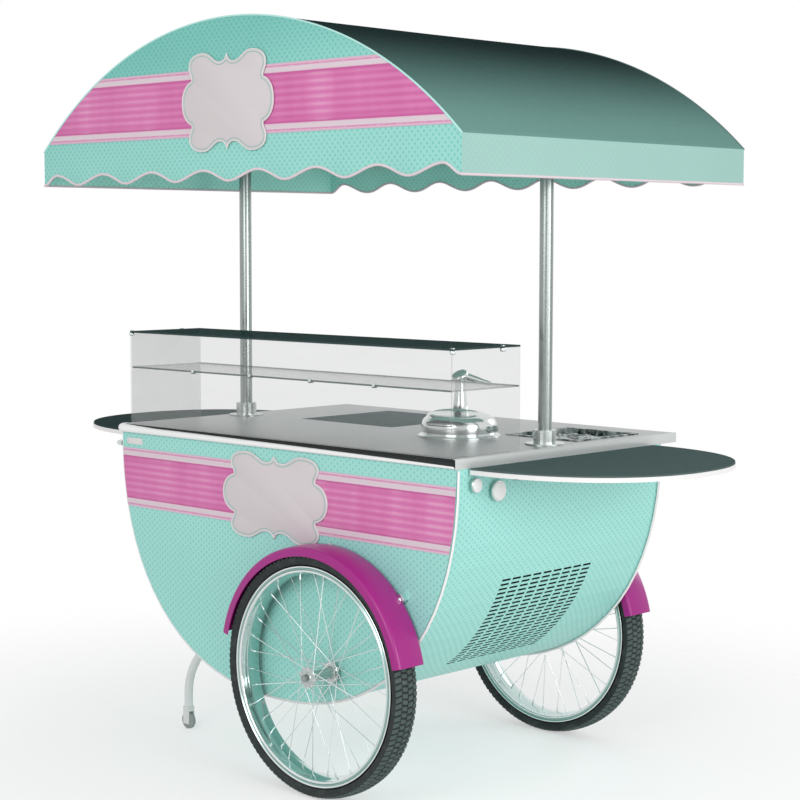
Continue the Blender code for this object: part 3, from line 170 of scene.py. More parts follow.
class Wire:
    """A value on its way through a finish, with plain arithmetic."""

    __add__, __radd__ = step("ADD"), step("ADD", True)
    __sub__, __rsub__ = step("SUBTRACT"), step("SUBTRACT", True)
    __mul__, __rmul__ = step("MULTIPLY"), step("MULTIPLY", True)
    __truediv__, __pow__, __abs__ = step("DIVIDE"), step("POWER"), step("ABSOLUTE")
    __lt__, __gt__ = step("LESS_THAN"), step("GREATER_THAN")
    least, most = step("MINIMUM"), step("MAXIMUM")
    fraction, wave = step("FRACT"), step("SINE")

    def __init__(self, finish, socket):
        self.finish = finish
        self.socket = socket

    def rise(self, low, high):
        """0 below low, 1 above high, and a smooth step between them."""
        inputs = {"Value": self, "From Min": low, "From Max": high}
        return self.finish.node("ShaderNodeMapRange", {"interpolation_type": "SMOOTHSTEP"}, inputs)


class Finish:
    """One material, or the world, and the nodes that it is made of."""

    def __init__(self, name, owner=None):
        self.material = owner or bpy.data.materials.new(name)
        self.material.use_nodes = True
        self.tree = self.material.node_tree
        self.tree.nodes.clear()

    def node(self, kind, settings=None, inputs=None, output=0):
        """Add a node: its settings first, then the values and wires of its sockets."""
        made = self.tree.nodes.new(kind)
        for name, value in (settings or {}).items():
            setattr(made, name, value)
        for key, value in (inputs or {}).items():
            socket = made.inputs[key]
            if isinstance(value, Wire):
                self.tree.links.new(value.socket, socket)
            elif socket.type == "RGBA":
                socket.default_value = (*value, 1)
            else:
                socket.default_value = value
        return Wire(self, made.outputs[output]) if made.outputs else None

    def place(self):
        return self.node("ShaderNodeTexCoord", output="Object")

    def parts(self, vector):
        """The three numbers of a vector."""
        split = self.node("ShaderNodeSeparateXYZ", inputs={0: vector}).socket.node
        return [Wire(self, split.outputs[i]) for i in range(3)]

    def facing(self):
        """How far the surface faces along each axis, from 0 to 1."""
        normal = self.node("ShaderNodeNewGeometry", output="True Normal")
        return [abs(part) for part in self.parts(normal)]

    def towards(self, way):
        """How far the surface faces one way."""
        normal = self.node("ShaderNodeNewGeometry", output="True Normal")
        return self.node("ShaderNodeVectorMath", {"operation": "DOT_PRODUCT"},
                         {0: way, 1: normal}, 1)

    def stretched(self, vector, scale):
        return self.node("ShaderNodeVectorMath", {"operation": "MULTIPLY"}, {0: vector, 1: scale})

    def cloudy(self, vector, scale, detail=3.0, roughness=0.5):
        inputs = {"Vector": vector, "Scale": scale, "Detail": detail, "Roughness": roughness}
        return self.node("ShaderNodeTexNoise", inputs=inputs)

    def cells(self, vector, scale, output="Distance"):
        return self.node("ShaderNodeTexVoronoi", inputs={"Vector": vector, "Scale": scale},
                         output=output)

    def mixed(self, share, first, second):
        """A colour between two colours."""
        return self.node("ShaderNodeMix", {"data_type": "RGBA"}, {0: share, 6: first, 7: second}, 2)

    def shaded(self, first, amount):
        """A colour made lighter or darker by a number near 1."""
        spread = self.node("ShaderNodeCombineXYZ", inputs={0: amount, 1: amount, 2: amount})
        return self.node("ShaderNodeVectorMath", {"operation": "MULTIPLY"}, {0: first, 1: spread})

    def relief(self, height, strength, depth):
        inputs = {"Height": height, "Strength": strength, "Distance": depth}
        return self.node("ShaderNodeBump", inputs=inputs)

    def done(self, base, roughness, metallic=0.0, normal=None, **extra):
        """Close the material with one surface shader, and return it."""
        inputs = {"Base Color": base, "Roughness": roughness, "Metallic": metallic}
        if normal is not None:
            inputs["Normal"] = normal
        inputs.update({name.replace("_", " "): value for name, value in extra.items()})
        surface = self.node("ShaderNodeBsdfPrincipled", inputs=inputs)
        self.node("ShaderNodeOutputMaterial", inputs={"Surface": surface})
        return self.material


TUB_DOT, CANOPY_DOT, LACE_EYE = 0.0036, 0.0038, 0.0012
THREAD_PITCH, RIB_PITCH, FINE_RIB_PITCH, STRAND_PITCH = 0.0016, 0.0196, 0.0028, 0.0034
CLOTH_MIDDLE = 1.5


def dot_mask(across, along, pitch, rise, radius):
    """Round dots in a staggered grid, a pitch apart in a row, with two rows to each rise."""
    def row(shift):
        a = ((across / pitch + shift).fraction() - 0.5) * pitch
        b = ((along / rise + shift).fraction() - 0.5) * rise
        return (a * a + b * b) ** 0.5
    nearest = row(0.0).least(row(0.5))
    return 1 - nearest.rise(radius * 0.72, radius * 1.28)


def dotted_board(colours, sizes, name="mint board", curved=False):
    """Mint board with printed dots under a satin film. On the curved skin it is a lighter copy, as
    painted light, and its inward faces are pale grey on the left half and dark on the right as
    painted shade in the vent slots.
    """
    f = Finish(name)
    place = f.place()
    x, y, z = f.parts(place)
    nx, ny, nz = f.facing()
    side = ny > 0.5
    end = nx > nz
    across = x * side + y * (1 - side)
    along = z * side + (z * end + x * (1 - end)) * (1 - side)
    dots = dot_mask(across, along, sizes.tub_dots, sizes.tub_dot_rows, TUB_DOT)
    patches = f.cloudy(place, 2.2, 4.0)
    grain = f.cloudy(place, 900, 2.0)
    base = f.mixed(dots * 0.62, colours.mint, colours.mint_dot)
    # Painted light: the curved skin is a lighter copy of the same board.
    base = f.shaded(base, (0.98 if curved else 0.93) + patches * 0.10 + grain * 0.05)
    if curved:
        slope = (((TUB_FACE - z) / TUB_DROP).most(0)) ** (TUB_EXPONENT - 1) / -TUB_DROP
        steep = x * (abs(x) / TUB_HALF) ** (TUB_EXPONENT - 2) / TUB_HALF ** 2
        outward = f.node("ShaderNodeCombineXYZ", inputs={0: steep, 2: slope})
        outward = f.node("ShaderNodeVectorMath", {"operation": "NORMALIZE"}, {0: outward})
        inner = 1 - f.towards(outward).rise(0.80, 0.92)
        # Painted shade: inward faces, the vent slots' walls and the skin's inner side, are dark on
        # the right half; on the left half they are pale grey.
        lining = f.mixed(x.rise(0.04, 0.06), tone(196, 202, 200), tone(34, 42, 42))
        base = f.mixed(inner, base, lining)
    scuff = f.cloudy(f.stretched(place, (3, 3, 26)), 9, 5.0, 0.65).rise(0.60, 0.78)
    height = grain * 0.5 - dots * 0.6
    return f.done(base, 0.42 + scuff * 0.12 + dots * 0.05, normal=f.relief(height, 0.25, 0.0004),
                  IOR=1.45)


def canopy_cloth(colours, sizes):
    """Coated canvas: dotted mint ends, pale skirts and a roof, with painted shade on the roof
    towards its ridge and on the ends towards the top and left, and painted light on the inner face.
    """
    f = Finish("canopy cloth")
    place = f.place()
    x, y, z = f.parts(place)
    nx, ny = f.facing()[:2]
    end = ny.rise(0.45, 0.55)
    skirt = nx.rise(0.86, 0.90) * (1 - end)
    thread = 2 * pi / THREAD_PITCH
    weave_end = (x * thread).wave() * (z * thread).wave()
    weave_roof = (y * thread).wave() * ((x + z) * thread).wave()
    weave = weave_end * end + weave_roof * (1 - end)
    pitch = sizes.canopy_dots
    dots = dot_mask(x * end + y * (1 - end), z, pitch, pitch, CANOPY_DOT)
    outward = f.node("ShaderNodeCombineXYZ", inputs={0: x, 1: y, 2: z - CLOTH_MIDDLE})
    inner = f.towards(outward) < 0
    patches = f.cloudy(place, 2.6, 4.0)
    printed = f.mixed(dots * 0.62, colours.mint, colours.mint_dot)
    # Painted shade: the roof darkens from its eave colour to its ridge colour.
    ridge = z.rise(ROOF_LOW.z + 0.10, ROOF_HIGH.z - 0.03)
    fibres = f.cloudy(f.stretched(place, (90, 8, 90)), 6, 4.0, 0.6)
    roof = f.mixed(ridge + (fibres - 0.5) * 0.25, colours.roof_eave, colours.roof)
    pale = f.mixed(dots * 0.20, colours.skirt, colours.mint)
    base = f.mixed(skirt, roof, pale)
    # Painted shade: the ends turn darker towards the top and the left.
    deeper = f.stretched(printed, (0.64, 0.80, 0.79))
    base = f.mixed(end, base, f.mixed((z - x * 0.12).rise(1.80, 2.10), printed, deeper))
    # Painted light: the inner face is a brighter mint copy of the cloth.
    lit_inside = f.mixed(dots * 0.3, colours.inside, colours.mint_dot)
    base = f.mixed(inner, base, lit_inside)
    base = f.shaded(base, 0.93 + patches * 0.11 + weave * 0.025)
    folds = f.cloudy(f.stretched(place, (7, 7, 2.2)), 1.6, 2.0)
    height = weave * 0.10 + folds * 3.0
    return f.done(base, 0.72 + weave * 0.05, normal=f.relief(height, 0.35, 0.0012),
                  Specular_IOR_Level=0.0)


def satin_ribbon(colours, low, high):
    """Ribbed pink satin with painted sheen and shade: lighter and darker patches along its length,
    darker rib troughs and edges, and pale painted highlights.
    """
    f = Finish("satin ribbon")
    place = f.place()
    z = f.parts(place)[2]
    rib = ((z - low) * (2 * pi / RIB_PITCH)).wave() * 0.5 + 0.5
    fine = ((z - low) * (2 * pi / FINE_RIB_PITCH)).wave() * 0.5 + 0.5
    sweep = f.cloudy(f.stretched(place, (5.0, 1.0, 0.8)), 1.0, 3.0, 0.55).rise(0.30, 0.72)
    fleck = f.cloudy(f.stretched(place, (90, 40, 420)), 1.0, 3.0, 0.7)
    # Painted sheen and shade: the ribs and the long patches lighten and darken the satin; the
    # flecks are its own tone.
    share = rib * 0.40 + sweep * 0.45 + fleck * 0.30 - 0.10
    # Painted shade: the satin darkens towards its edges.
    edge = (z - low).rise(0.0, 0.014) * (high - z).rise(0.0, 0.014)
    base = f.mixed(share * edge, colours.ribbon_dark, colours.ribbon)
    # Painted highlight: the brightest patches are mixed towards the pale lace colour.
    base = f.mixed((share - 0.45).rise(0.10, 0.55) * 0.28, base, colours.lace)
    height = rib * 1.4 + fine * 0.20
    return f.done(base, 0.44 + fine * 0.10, normal=f.relief(height, 0.40, 0.0010),
                  Sheen_Weight=0.25, Sheen_Roughness=0.35)


def lace_edging(colours, outer, way):
    """A woven lace strip: pale threads, and a row of pink stitches near its outer edge."""
    f = Finish("lace edging")
    place = f.place()
    x, _, z = f.parts(place)
    rise = (z - outer) * way
    eye = dot_mask(x, rise, 0.0085, 0.0068, LACE_EYE)
    twist = 2 * pi / STRAND_PITCH
    strand = (x * twist).wave() * (rise * twist).wave() * 0.5 + 0.5
    broken = f.cloudy(f.stretched(place, (160, 1, 160)), 1.0, 2.0).rise(0.30, 0.60) * 0.35 + 0.65
    stripe = (1 - abs(rise - 0.0072).rise(0.0014, 0.0030)) * broken
    border = (rise - 0.0236).rise(0.0, 0.0010)
    pink = (eye * 0.35).most(stripe * 0.9).most((rise < 0.0055) * 0.28).most(border)
    stitch = f.mixed(border * 0.5 + 0.4, colours.ribbon, colours.ribbon_dark)
    base = f.mixed(pink, colours.lace, stitch)
    base = f.shaded(base, 0.92 + strand * 0.12)
    height = strand * 0.6 - pink
    return f.done(base, 0.62 + strand * 0.1, normal=f.relief(height, 0.6, 0.0007),
                  Sheen_Weight=0.2)


def enamel(name, shade, gloss=0.35, speckle=0.03, bump=0.10, coat=0.0, metallic=0.0, shine=0.5):
    """A smooth painted or moulded finish with faint mottling, handling marks and orange peel."""
    f = Finish(name)
    place = f.place()
    mottle = f.cloudy(place, 5.0, 5.0, 0.6)
    peel = f.cloudy(place, 420, 2.0)
    fine = f.cloudy(place, 1500, 1.0)
    rub = f.cloudy(f.stretched(place, (6, 6, 30)), 7, 4.0, 0.7).rise(0.58, 0.80)
    base = f.shaded(shade, 1 - speckle + mottle * speckle + fine * speckle)
    return f.done(base, gloss + rub * 0.10, metallic, f.relief(peel, bump, 0.0003),
                  Coat_Weight=coat, Coat_Roughness=0.12, Specular_IOR_Level=shine)


def brushed_steel(name, shade, axis, gloss=0.30):
    """Rolled steel, brushed along one axis, with faint scratches and finger marks."""
    f = Finish(name)
    place = f.place()
    fine = [900.0, 900.0, 900.0]
    fine[axis] = 9.0
    lines = f.cloudy(f.stretched(place, fine), 1.0, 4.0, 0.7)
    smudge = f.cloudy(place, 7.0, 4.0, 0.6)
    scratch = f.cloudy(f.stretched(place, [v / 3 for v in fine]), 1.0, 2.0).rise(0.62, 0.74)
    base = f.shaded(shade, 0.90 + lines * 0.14 + smudge * 0.05)
    rough = gloss + lines * 0.12 + smudge * 0.10 - scratch * 0.05
    return f.done(base, rough, 1.0, f.relief(lines, 0.15, 0.0002))


def bright_chrome(name, shade, gloss=0.09):
    """Polished plating with faint haze and hairline swirls."""
    f = Finish(name)
    place = f.place()
    haze = f.cloudy(place, 22.0, 4.0, 0.6)
    swirl = f.cloudy(f.stretched(place, (400, 60, 400)), 1.0, 3.0, 0.7)
    base = f.shaded(shade, 0.94 + haze * 0.10)
    return f.done(base, gloss + haze * 0.08 + swirl * 0.04, 1.0, f.relief(swirl, 0.05, 0.0001))


def rim_chrome(shade, centre, lip):
    """Polished plating with a duller groove between the lip and the shoulder of a rim; the groove's
    darker mint tint is painted shade and painted mint reflection, and the mint tint of the rim's
    inner face is painted reflection.
    """
    f = Finish("rim chrome")
    place = f.place()
    x, _, z = f.parts(place)
    reach = ((x - centre.x) ** 2 + (z - centre.z) ** 2) ** 0.5
    groove = reach.rise(lip - 0.0130, lip - 0.0114) * (1 - reach.rise(lip - 0.0060, lip - 0.0044))
    well = 1 - reach.rise(lip - 0.0200, lip - 0.0185)
    haze = f.cloudy(place, 22.0, 4.0, 0.6)
    swirl = f.cloudy(f.stretched(place, (400, 60, 400)), 1.0, 3.0, 0.7)
    # Painted shade and mint reflection in the groove, and painted mint reflection on the inner
    # face.
    base = f.mixed(groove * 0.85, shade, tone(122, 162, 156))
    base = f.mixed(well * 0.6, base, tone(166, 196, 191))
    base = f.shaded(base, 0.94 + haze * 0.10)
    return f.done(base, 0.07 + haze * 0.08 + groove * 0.12, 1.0, f.relief(swirl, 0.05, 0.0001))


def tyre_rubber(name, shade, dust):
    """Moulded rubber with a fine grain and pale dust in patches."""
    f = Finish(name)
    place = f.place()
    grain = f.cloudy(place, 700, 3.0, 0.6)
    wear = f.cloudy(place, 30, 4.0, 0.6)
    base = f.mixed(wear.rise(0.45, 0.75) * dust, shade, tone(128, 138, 134))
    base = f.shaded(base, 0.85 + grain * 0.3)
    return f.done(base, 0.72 + wear * 0.12, normal=f.relief(grain, 0.35, 0.0005))


def pebbled_mat(shade, name):
    """Rubber matting with a close pebble grain."""
    f = Finish(name)
    place = f.place()
    pebble = f.cells(place, 420)
    broad = f.cloudy(place, 14, 4.0, 0.6)
    base = f.shaded(shade, 0.84 + pebble * 0.30 + broad * 0.14)
    height = pebble + f.cloudy(place, 900, 2.0) * 0.4
    return f.done(base, 0.80 + broad * 0.12, normal=f.relief(height, 0.55, 0.0006),
                  Specular_IOR_Level=0.0)


def speckled_stone(shade):
    """Cast stone with dark and pale chips under a dull polish."""
    f = Finish("speckled stone")
    place = f.place()
    red, green, _ = f.parts(f.cells(place, 260, "Color"))
    small = f.parts(f.cells(place, 640, "Color"))[0]
    base = f.mixed(red.rise(0.50, 0.62) * 0.45, shade, tone(66, 80, 84))
    base = f.mixed((green > 0.84) * 0.6, base, tone(150, 152, 160))
    base = f.mixed((small > 0.90) * 0.5, base, tone(128, 108, 128))
    cloud = f.cloudy(place, 9, 4.0, 0.6)
    return f.done(f.shaded(base, 0.90 + cloud * 0.2), 0.60 + cloud * 0.12,
                  normal=f.relief(f.cloudy(place, 500, 3.0), 0.2, 0.0003),
                  Specular_IOR_Level=0.0)


def pane(name, shade, clear, shine=0.25):
    """A glass pane: thin, lightly tinted, with faint wiping streaks."""
    f = Finish(name)
    place = f.place()
    wipe = f.cloudy(f.stretched(place, (3, 9, 22)), 1.0, 4.0, 0.6)
    dust = f.cloudy(place, 260, 2.0).rise(0.62, 0.80)
    cover = clear + wipe * 0.04 + dust * 0.015
    return f.done(f.shaded(shade, 0.97 + wipe * 0.05), 0.05 + wipe * 0.05, Alpha=cover,
                  Specular_IOR_Level=shine)


def crumpled_foil(shade, name="crumpled lining"):
    """A crumpled lining, pale on its facets, with painted shade darkening the creases in between.
    """
    f = Finish(name)
    place = f.place()
    crease = f.cells(f.stretched(place, (1, 1, 0.6)), 38)
    small = f.cells(place, 110)
    # Painted shade: the creases between the facets are darkened.
    light = crease.rise(0.35, 0.72) * 0.75 + small.rise(0.5, 0.8) * 0.35
    base = f.mixed(light, tone(44, 58, 57), shade)
    return f.done(base, 0.32 + small * 0.15, 0.55, f.relief(crease + small * 0.5, 0.9, 0.004))


# Meshes


def placed(name, data):
    """A new object in the scene."""
    made = bpy.data.objects.new(name, data)
    bpy.context.scene.collection.objects.link(made)
    return made


def new_piece(name, mesh, paint, body="cart", smooth=SMOOTH_ANGLE):
    """Put a mesh or bmesh given in place into the scene, riding on a body."""
    if isinstance(mesh, bmesh.types.BMesh):
        mesh = mesh_of(mesh)
    mesh.name = name
    mesh.materials.clear()
    mesh.materials.append(paint)
    mesh.shade_smooth()
    mesh.set_sharp_from_angle(angle=smooth)
    made = placed(name, mesh)
    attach(made, body)
    return made


def mesh_of(form, name="shape", outward=True):
    """A mesh from a bmesh, with doubles merged and its faces turned outwards."""
    bmesh.ops.remove_doubles(form, verts=form.verts, dist=0.00002)
    if outward:
        bmesh.ops.recalc_face_normals(form, faces=form.faces)
    mesh = bpy.data.meshes.new(name)
    form.to_mesh(mesh)
    form.free()
    return mesh


def spread(reach, steps):
    """Even places from minus a reach to the reach."""
    return [reach * (-1 + 2 * i / steps) for i in range(steps + 1)]


def add_grid(form, points):
    """Add a sheet from rows of points to a bmesh."""
    rows = [[form.verts.new(point) for point in row] for row in points]
    for first, second in zip(rows, rows[1:]):
        for corners in zip(first, first[1:], second[1:], second):
            form.faces.new(corners)


def faced_sheet(rows, way, depth):
    """A thin wall from rows of points, its front turned one way."""
    form = bmesh.new()
    add_grid(form, rows)
    mesh = mesh_of(form)
    if mesh.polygons[0].normal.dot(way) < 0:
        mesh.flip_normals()
    return thickened(mesh, depth)


def rings_form(rings, cap_first=True, cap_last=True):
    """A bmesh skin through closed rings of the same number of points."""
    form = bmesh.new()
    loops = [[form.verts.new(point) for point in ring] for ring in rings]
    for first, second in zip(loops, loops[1:]):
        for corners in zip(first, first[1:] + first[:1], second[1:] + second[:1], second):
            form.faces.new(corners)
    if cap_first:
        form.faces.new(loops[0][::-1])
    if cap_last:
        form.faces.new(loops[-1])
    return form


def circle(middle, across, over, sides):
    """Points round a middle, on the ellipse of two half axes."""
    turns = [2 * pi * k / sides for k in range(sides)]
    return [middle + across * cos(turn) + over * sin(turn) for turn in turns]


def lathe_form(section, start, axis, sides=40):
    """A closed solid of (radius, height) points about any axis."""
    axis = Vector(axis).normalized()
    across = axis.orthogonal().normalized()
    over = axis.cross(across)
    return rings_form([circle(Vector(start) + axis * height, across * radius, over * radius, sides)
                       for radius, height in section])


def swept_form(points, radii, sides=12):
    """A round bar along points, its radius given at each."""
    points = [Vector(p) for p in points]
    rings = []
    for i, (point, radius) in enumerate(zip(points, radii)):
        run = (points[min(i + 1, len(points) - 1)] - points[max(i - 1, 0)]).normalized()
        aside = run.cross(Vector((0, 0, 1))).normalized()
        rings.append(circle(point, aside * radius, aside.cross(run) * radius, sides))
    return rings_form(rings)


def thickened(mesh, depth):
    """A sheet given a wall."""
    made = placed("sheet", mesh)
    wall = made.modifiers.new("wall", "SOLIDIFY")
    wall.thickness = depth
    wall.offset = -1.0
    wall.use_even_offset = True
    return plain(made)


def plain(made):
    """The evaluated mesh of an object, whose own object is removed."""
    bpy.context.view_layer.update()
    seen = made.evaluated_get(bpy.context.evaluated_depsgraph_get())
    mesh = bpy.data.meshes.new_from_object(seen)
    bpy.data.objects.remove(made, do_unlink=True)
    return mesh


def mirrored(section):
    """The other half of a section of (radius, y) points, from its far end back."""
    return [(radius, -y) for radius, y in section[::-1]]


def turned(section, centre, steps, start=0.0, sweep=2 * pi):
    """Turn a closed section of (radius, y) points round an axis along Y."""
    rings = []
    for i in range(steps + 1):
        angle = start + sweep * i / steps
        out = Vector((cos(angle), 0, sin(angle)))
        rings.append([centre + out * r + Vector((0, y, 0)) for r, y in section])
    ended = sweep < 2 * pi
    return mesh_of(rings_form(rings, ended, ended))


def rounded(form, edges, width):
    """Round some edges of a bmesh."""
    bmesh.ops.bevel(form, geom=edges, offset=width, segments=2, profile=0.5, affect="EDGES")
    return form


def block_form(low, high, width):
    """A bmesh block between two corners, its edges rounded to a width."""
    form = bmesh.new()
    bmesh.ops.create_cube(form, size=1.0)
    for vert in form.verts:
        vert.co = Vector([high[i] if vert.co[i] > 0 else low[i] for i in range(3)])
    return rounded(form, form.edges, width)


def plate_form(outline, y_low, y_high, width):
    """A flat outline in X and Z given thickness along Y, with rounded rims."""
    form = bmesh.new()
    low = form.faces.new([form.verts.new((x, y_low, z)) for x, z in outline])
    made = bmesh.ops.extrude_face_region(form, geom=[low])
    high = [v for v in made["geom"] if isinstance(v, bmesh.types.BMVert)]
    bmesh.ops.translate(form, verts=high, vec=(0, y_high - y_low, 0))
    rims = [e for e in form.edges if abs(e.verts[0].co.y - e.verts[1].co.y) < 1e-6]
    return rounded(form, rims, width)


def merged(parts):
    """Several meshes or bmeshes as one mesh."""
    form = bmesh.new()
    for part in parts:
        if isinstance(part, bmesh.types.BMesh):
            part = mesh_of(part)
        form.from_mesh(part)
        bpy.data.meshes.remove(part)
    mesh = bpy.data.meshes.new("merged")
    form.to_mesh(mesh)
    form.free()
    return mesh


def path_mesh(paths, closed=False):
    """Polylines as edges alone, for a modifier to follow."""
    verts, edges = [], []
    for path in paths:
        first = len(verts)
        verts += [tuple(p) for p in path]
        edges += [(first + i, first + i + 1) for i in range(len(path) - 1)]
        if closed:
            edges.append((len(verts) - 1, first))
    mesh = bpy.data.meshes.new("path")
    mesh.from_pydata(verts, edges, [])
    return mesh


# Node trees


class Tree:
    """A geometry tree with named inputs, wired in plain steps."""

    def __init__(self, name):
        self.group = bpy.data.node_groups.new(name, "GeometryNodeTree")
        for way in ("INPUT", "OUTPUT"):
            self.group.interface.new_socket("Geometry", in_out=way,
                                            socket_type="NodeSocketGeometry")
        self.inputs = self.group.nodes.new("NodeGroupInput")
        self.outputs = self.group.nodes.new("NodeGroupOutput")

    def size(self, name, kind, default=None):
        """A named input, and its wire."""
        socket = self.group.interface.new_socket(name, in_out="INPUT",
                                                 socket_type="NodeSocket" + kind)
        if default is not None:
            socket.default_value = default
        return self.inputs.outputs[name]

    def node(self, kind, settings=None, inputs=None):
        made = self.group.nodes.new(kind)
        for name, value in (settings or {}).items():
            setattr(made, name, value)
        for key, value in (inputs or {}).items():
            if isinstance(value, bpy.types.NodeSocket):
                self.group.links.new(value, made.inputs[key])
            else:
                made.inputs[key].default_value = value
        return made.outputs

    def maths(self, operation, first, second):
        return self.node("ShaderNodeMath", {"operation": operation}, {0: first, 1: second})[0]

    def curves(self):
        """The incoming edges as curves."""
        return self.node("GeometryNodeMeshToCurve", inputs={"Mesh": self.inputs.outputs[0]})[0]

    def close(self, geometry, paint):
        """End in real geometry with one material."""
        real = self.node("GeometryNodeRealizeInstances", inputs={0: geometry})[0]
        inputs = {"Geometry": real, "Material": paint}
        painted = self.node("GeometryNodeSetMaterial", inputs=inputs)[0]
        self.group.links.new(painted, self.outputs.inputs[0])
        return self.group

    def close_copies(self, points, shape, turn, paint):
        """End in copies of a shape on points, each with its turn."""
        inputs = {"Points": points, "Instance": shape, "Rotation": turn}
        return self.close(self.node("GeometryNodeInstanceOnPoints", inputs=inputs)[0], paint)


def bead_tree():
    """A round bead along each edge path."""
    tree = Tree("bead")
    radius = tree.size("Radius", "Float", 0.004)
    sides = tree.size("Sides", "Int", 10)
    paint = tree.size("Material", "Material")
    ring = tree.node("GeometryNodeCurvePrimitiveCircle",
                     inputs={"Resolution": sides, "Radius": radius})[0]
    inputs = {"Curve": tree.curves(), "Profile Curve": ring, "Fill Caps": True}
    return tree.close(tree.node("GeometryNodeCurveToMesh", inputs=inputs)[0], paint)


def ring_tree():
    """Copies of one shape set round an axis along Y."""
    tree = Tree("ring")
    count = tree.size("Count", "Int", 36)
    jitter = tree.size("Jitter", "Float", 0.0)
    paint = tree.size("Material", "Material")
    points = tree.node("GeometryNodePoints", inputs={"Count": count})[0]
    index = tree.node("GeometryNodeInputIndex")[0]
    random = tree.node("FunctionNodeRandomValue", inputs={"ID": index, "Seed": 7})[1]
    place = tree.maths("ADD", index, tree.maths("MULTIPLY", random, jitter))
    angle = tree.maths("MULTIPLY", tree.maths("DIVIDE", place, count), 2 * pi)
    euler = tree.node("ShaderNodeCombineXYZ", inputs={1: angle})[0]
    turn = tree.node("FunctionNodeEulerToRotation", inputs={0: euler})[0]
    shape = tree.node("GeometryNodeGeometryToInstance", inputs={0: tree.inputs.outputs[0]})[0]
    return tree.close_copies(points, shape, turn, paint)


def stud_tree():
    """One small shape on every point, standing along the point's own facing."""
    tree = Tree("studs")
    shape = tree.size("Shape", "Object")
    paint = tree.size("Material", "Material")
    points = tree.node("GeometryNodeMeshToPoints", inputs={"Mesh": tree.inputs.outputs[0]})[0]
    facing = tree.node("GeometryNodeInputNamedAttribute", {"data_type": "FLOAT_VECTOR"},
                       {"Name": "facing"})[0]
    turn = tree.node("FunctionNodeAlignRotationToVector", {"axis": "Z"}, {"Vector": facing})[0]
    form = tree.node("GeometryNodeObjectInfo", inputs={"Object": shape})["Geometry"]
    return tree.close_copies(points, form, turn, paint)


def stitch_tree():
    """Short threads at an even pitch along each edge path."""
    tree = Tree("stitches")
    pitch = tree.size("Pitch", "Float", 0.006)
    thick = tree.size("Radius", "Float", 0.0005)
    share = tree.size("Share", "Float", 0.6)
    paint = tree.size("Material", "Material")
    places = tree.node("GeometryNodeCurveToPoints", {"mode": "LENGTH"},
                       {"Curve": tree.curves(), "Length": pitch})
    run = tree.maths("MULTIPLY", pitch, share)
    thread = tree.node("GeometryNodeMeshCylinder",
                       inputs={"Vertices": 5, "Radius": thick, "Depth": run})[0]
    return tree.close_copies(places[0], thread, places[3], paint)


def run_tree(mesh, tree, **values):
    """Put a mesh through a geometry tree with its inputs set, and return the plain result."""
    group = bpy.data.node_groups.get(tree.__name__) or tree()
    group.name = tree.__name__
    made = placed("path", mesh)
    step = made.modifiers.new("tree", "NODES")
    step.node_group = group
    for item in group.interface.items_tree:
        if item.in_out == "INPUT" and item.name in values:
            step[item.identifier] = values[item.name]
    return plain(made)


def bead(paths, radius, sides, paint, closed=False):
    """A round bead along each of the paths."""
    return run_tree(path_mesh(paths, closed), bead_tree, Radius=radius, Sides=sides,
                    Material=paint)


def studs(places, shape, paint):
    """Copies of a small shape at (point, facing) places."""
    mesh = bpy.data.meshes.new("places")
    mesh.from_pydata([tuple(p) for p, _ in places], [], [])
    facing = mesh.attributes.new("facing", "FLOAT_VECTOR", "POINT")
    for item, (_, way) in zip(facing.data, places):
        item.vector = way
    holder = placed("stud shape", shape)
    made = run_tree(mesh, stud_tree, Shape=holder, Material=paint)
    bpy.data.objects.remove(holder, do_unlink=True)
    return made


def dome(radius, height, sides=12, collar=0.0):
    """A low domed head about Z, on a thin washer where a collar is given."""
    steps = [pi / 6 * i for i in range(3)]
    section = [(radius * cos(step), height * sin(step)) for step in steps]
    section = [(section[0][0], -0.0006)] + section
    if collar:
        washer = height * 0.22
        section = [(collar, -0.0006), (collar, washer), (radius, washer)] + section[2:]
    form = rings_form([circle(Vector((0, 0, z)), Vector((r, 0, 0)), Vector((0, r, 0)), sides)
                       for r, z in section], cap_last=False)
    form.verts.ensure_lookup_table()
    last = form.verts[-sides:]
    top = form.verts.new((0, 0, height))
    for first, second in zip(last, last[1:] + last[:1]):
        form.faces.new((first, second, top))
    return mesh_of(form)


# Stage


CAMERA_PLACE = (3.9378, -4.0402, 1.5215)
CAMERA_YAW, CAMERA_TILT, CAMERA_ROLL = radians(43.7993), radians(90 - 4.8687), radians(0.1035)
CAMERA_LENS, CAMERA_SENSOR = 86.086, 36
LAMP_AIM = Vector((0, 0, 0.9))
LAMPS = (("key lamp", (1.9, -5.4, 2.9), 3.2, 112),
         ("side lamp", (6.4, -0.8, 1.9), 3.2, 150),
         ("back lamp", (1.0, 5.6, 3.0), 3.0, 60))
WORLD_LIGHT, WORLD_SEEN = 0.62, 1.0
FLOOR_RADIUS, FLOOR_DROP = 9.0, -0.0005


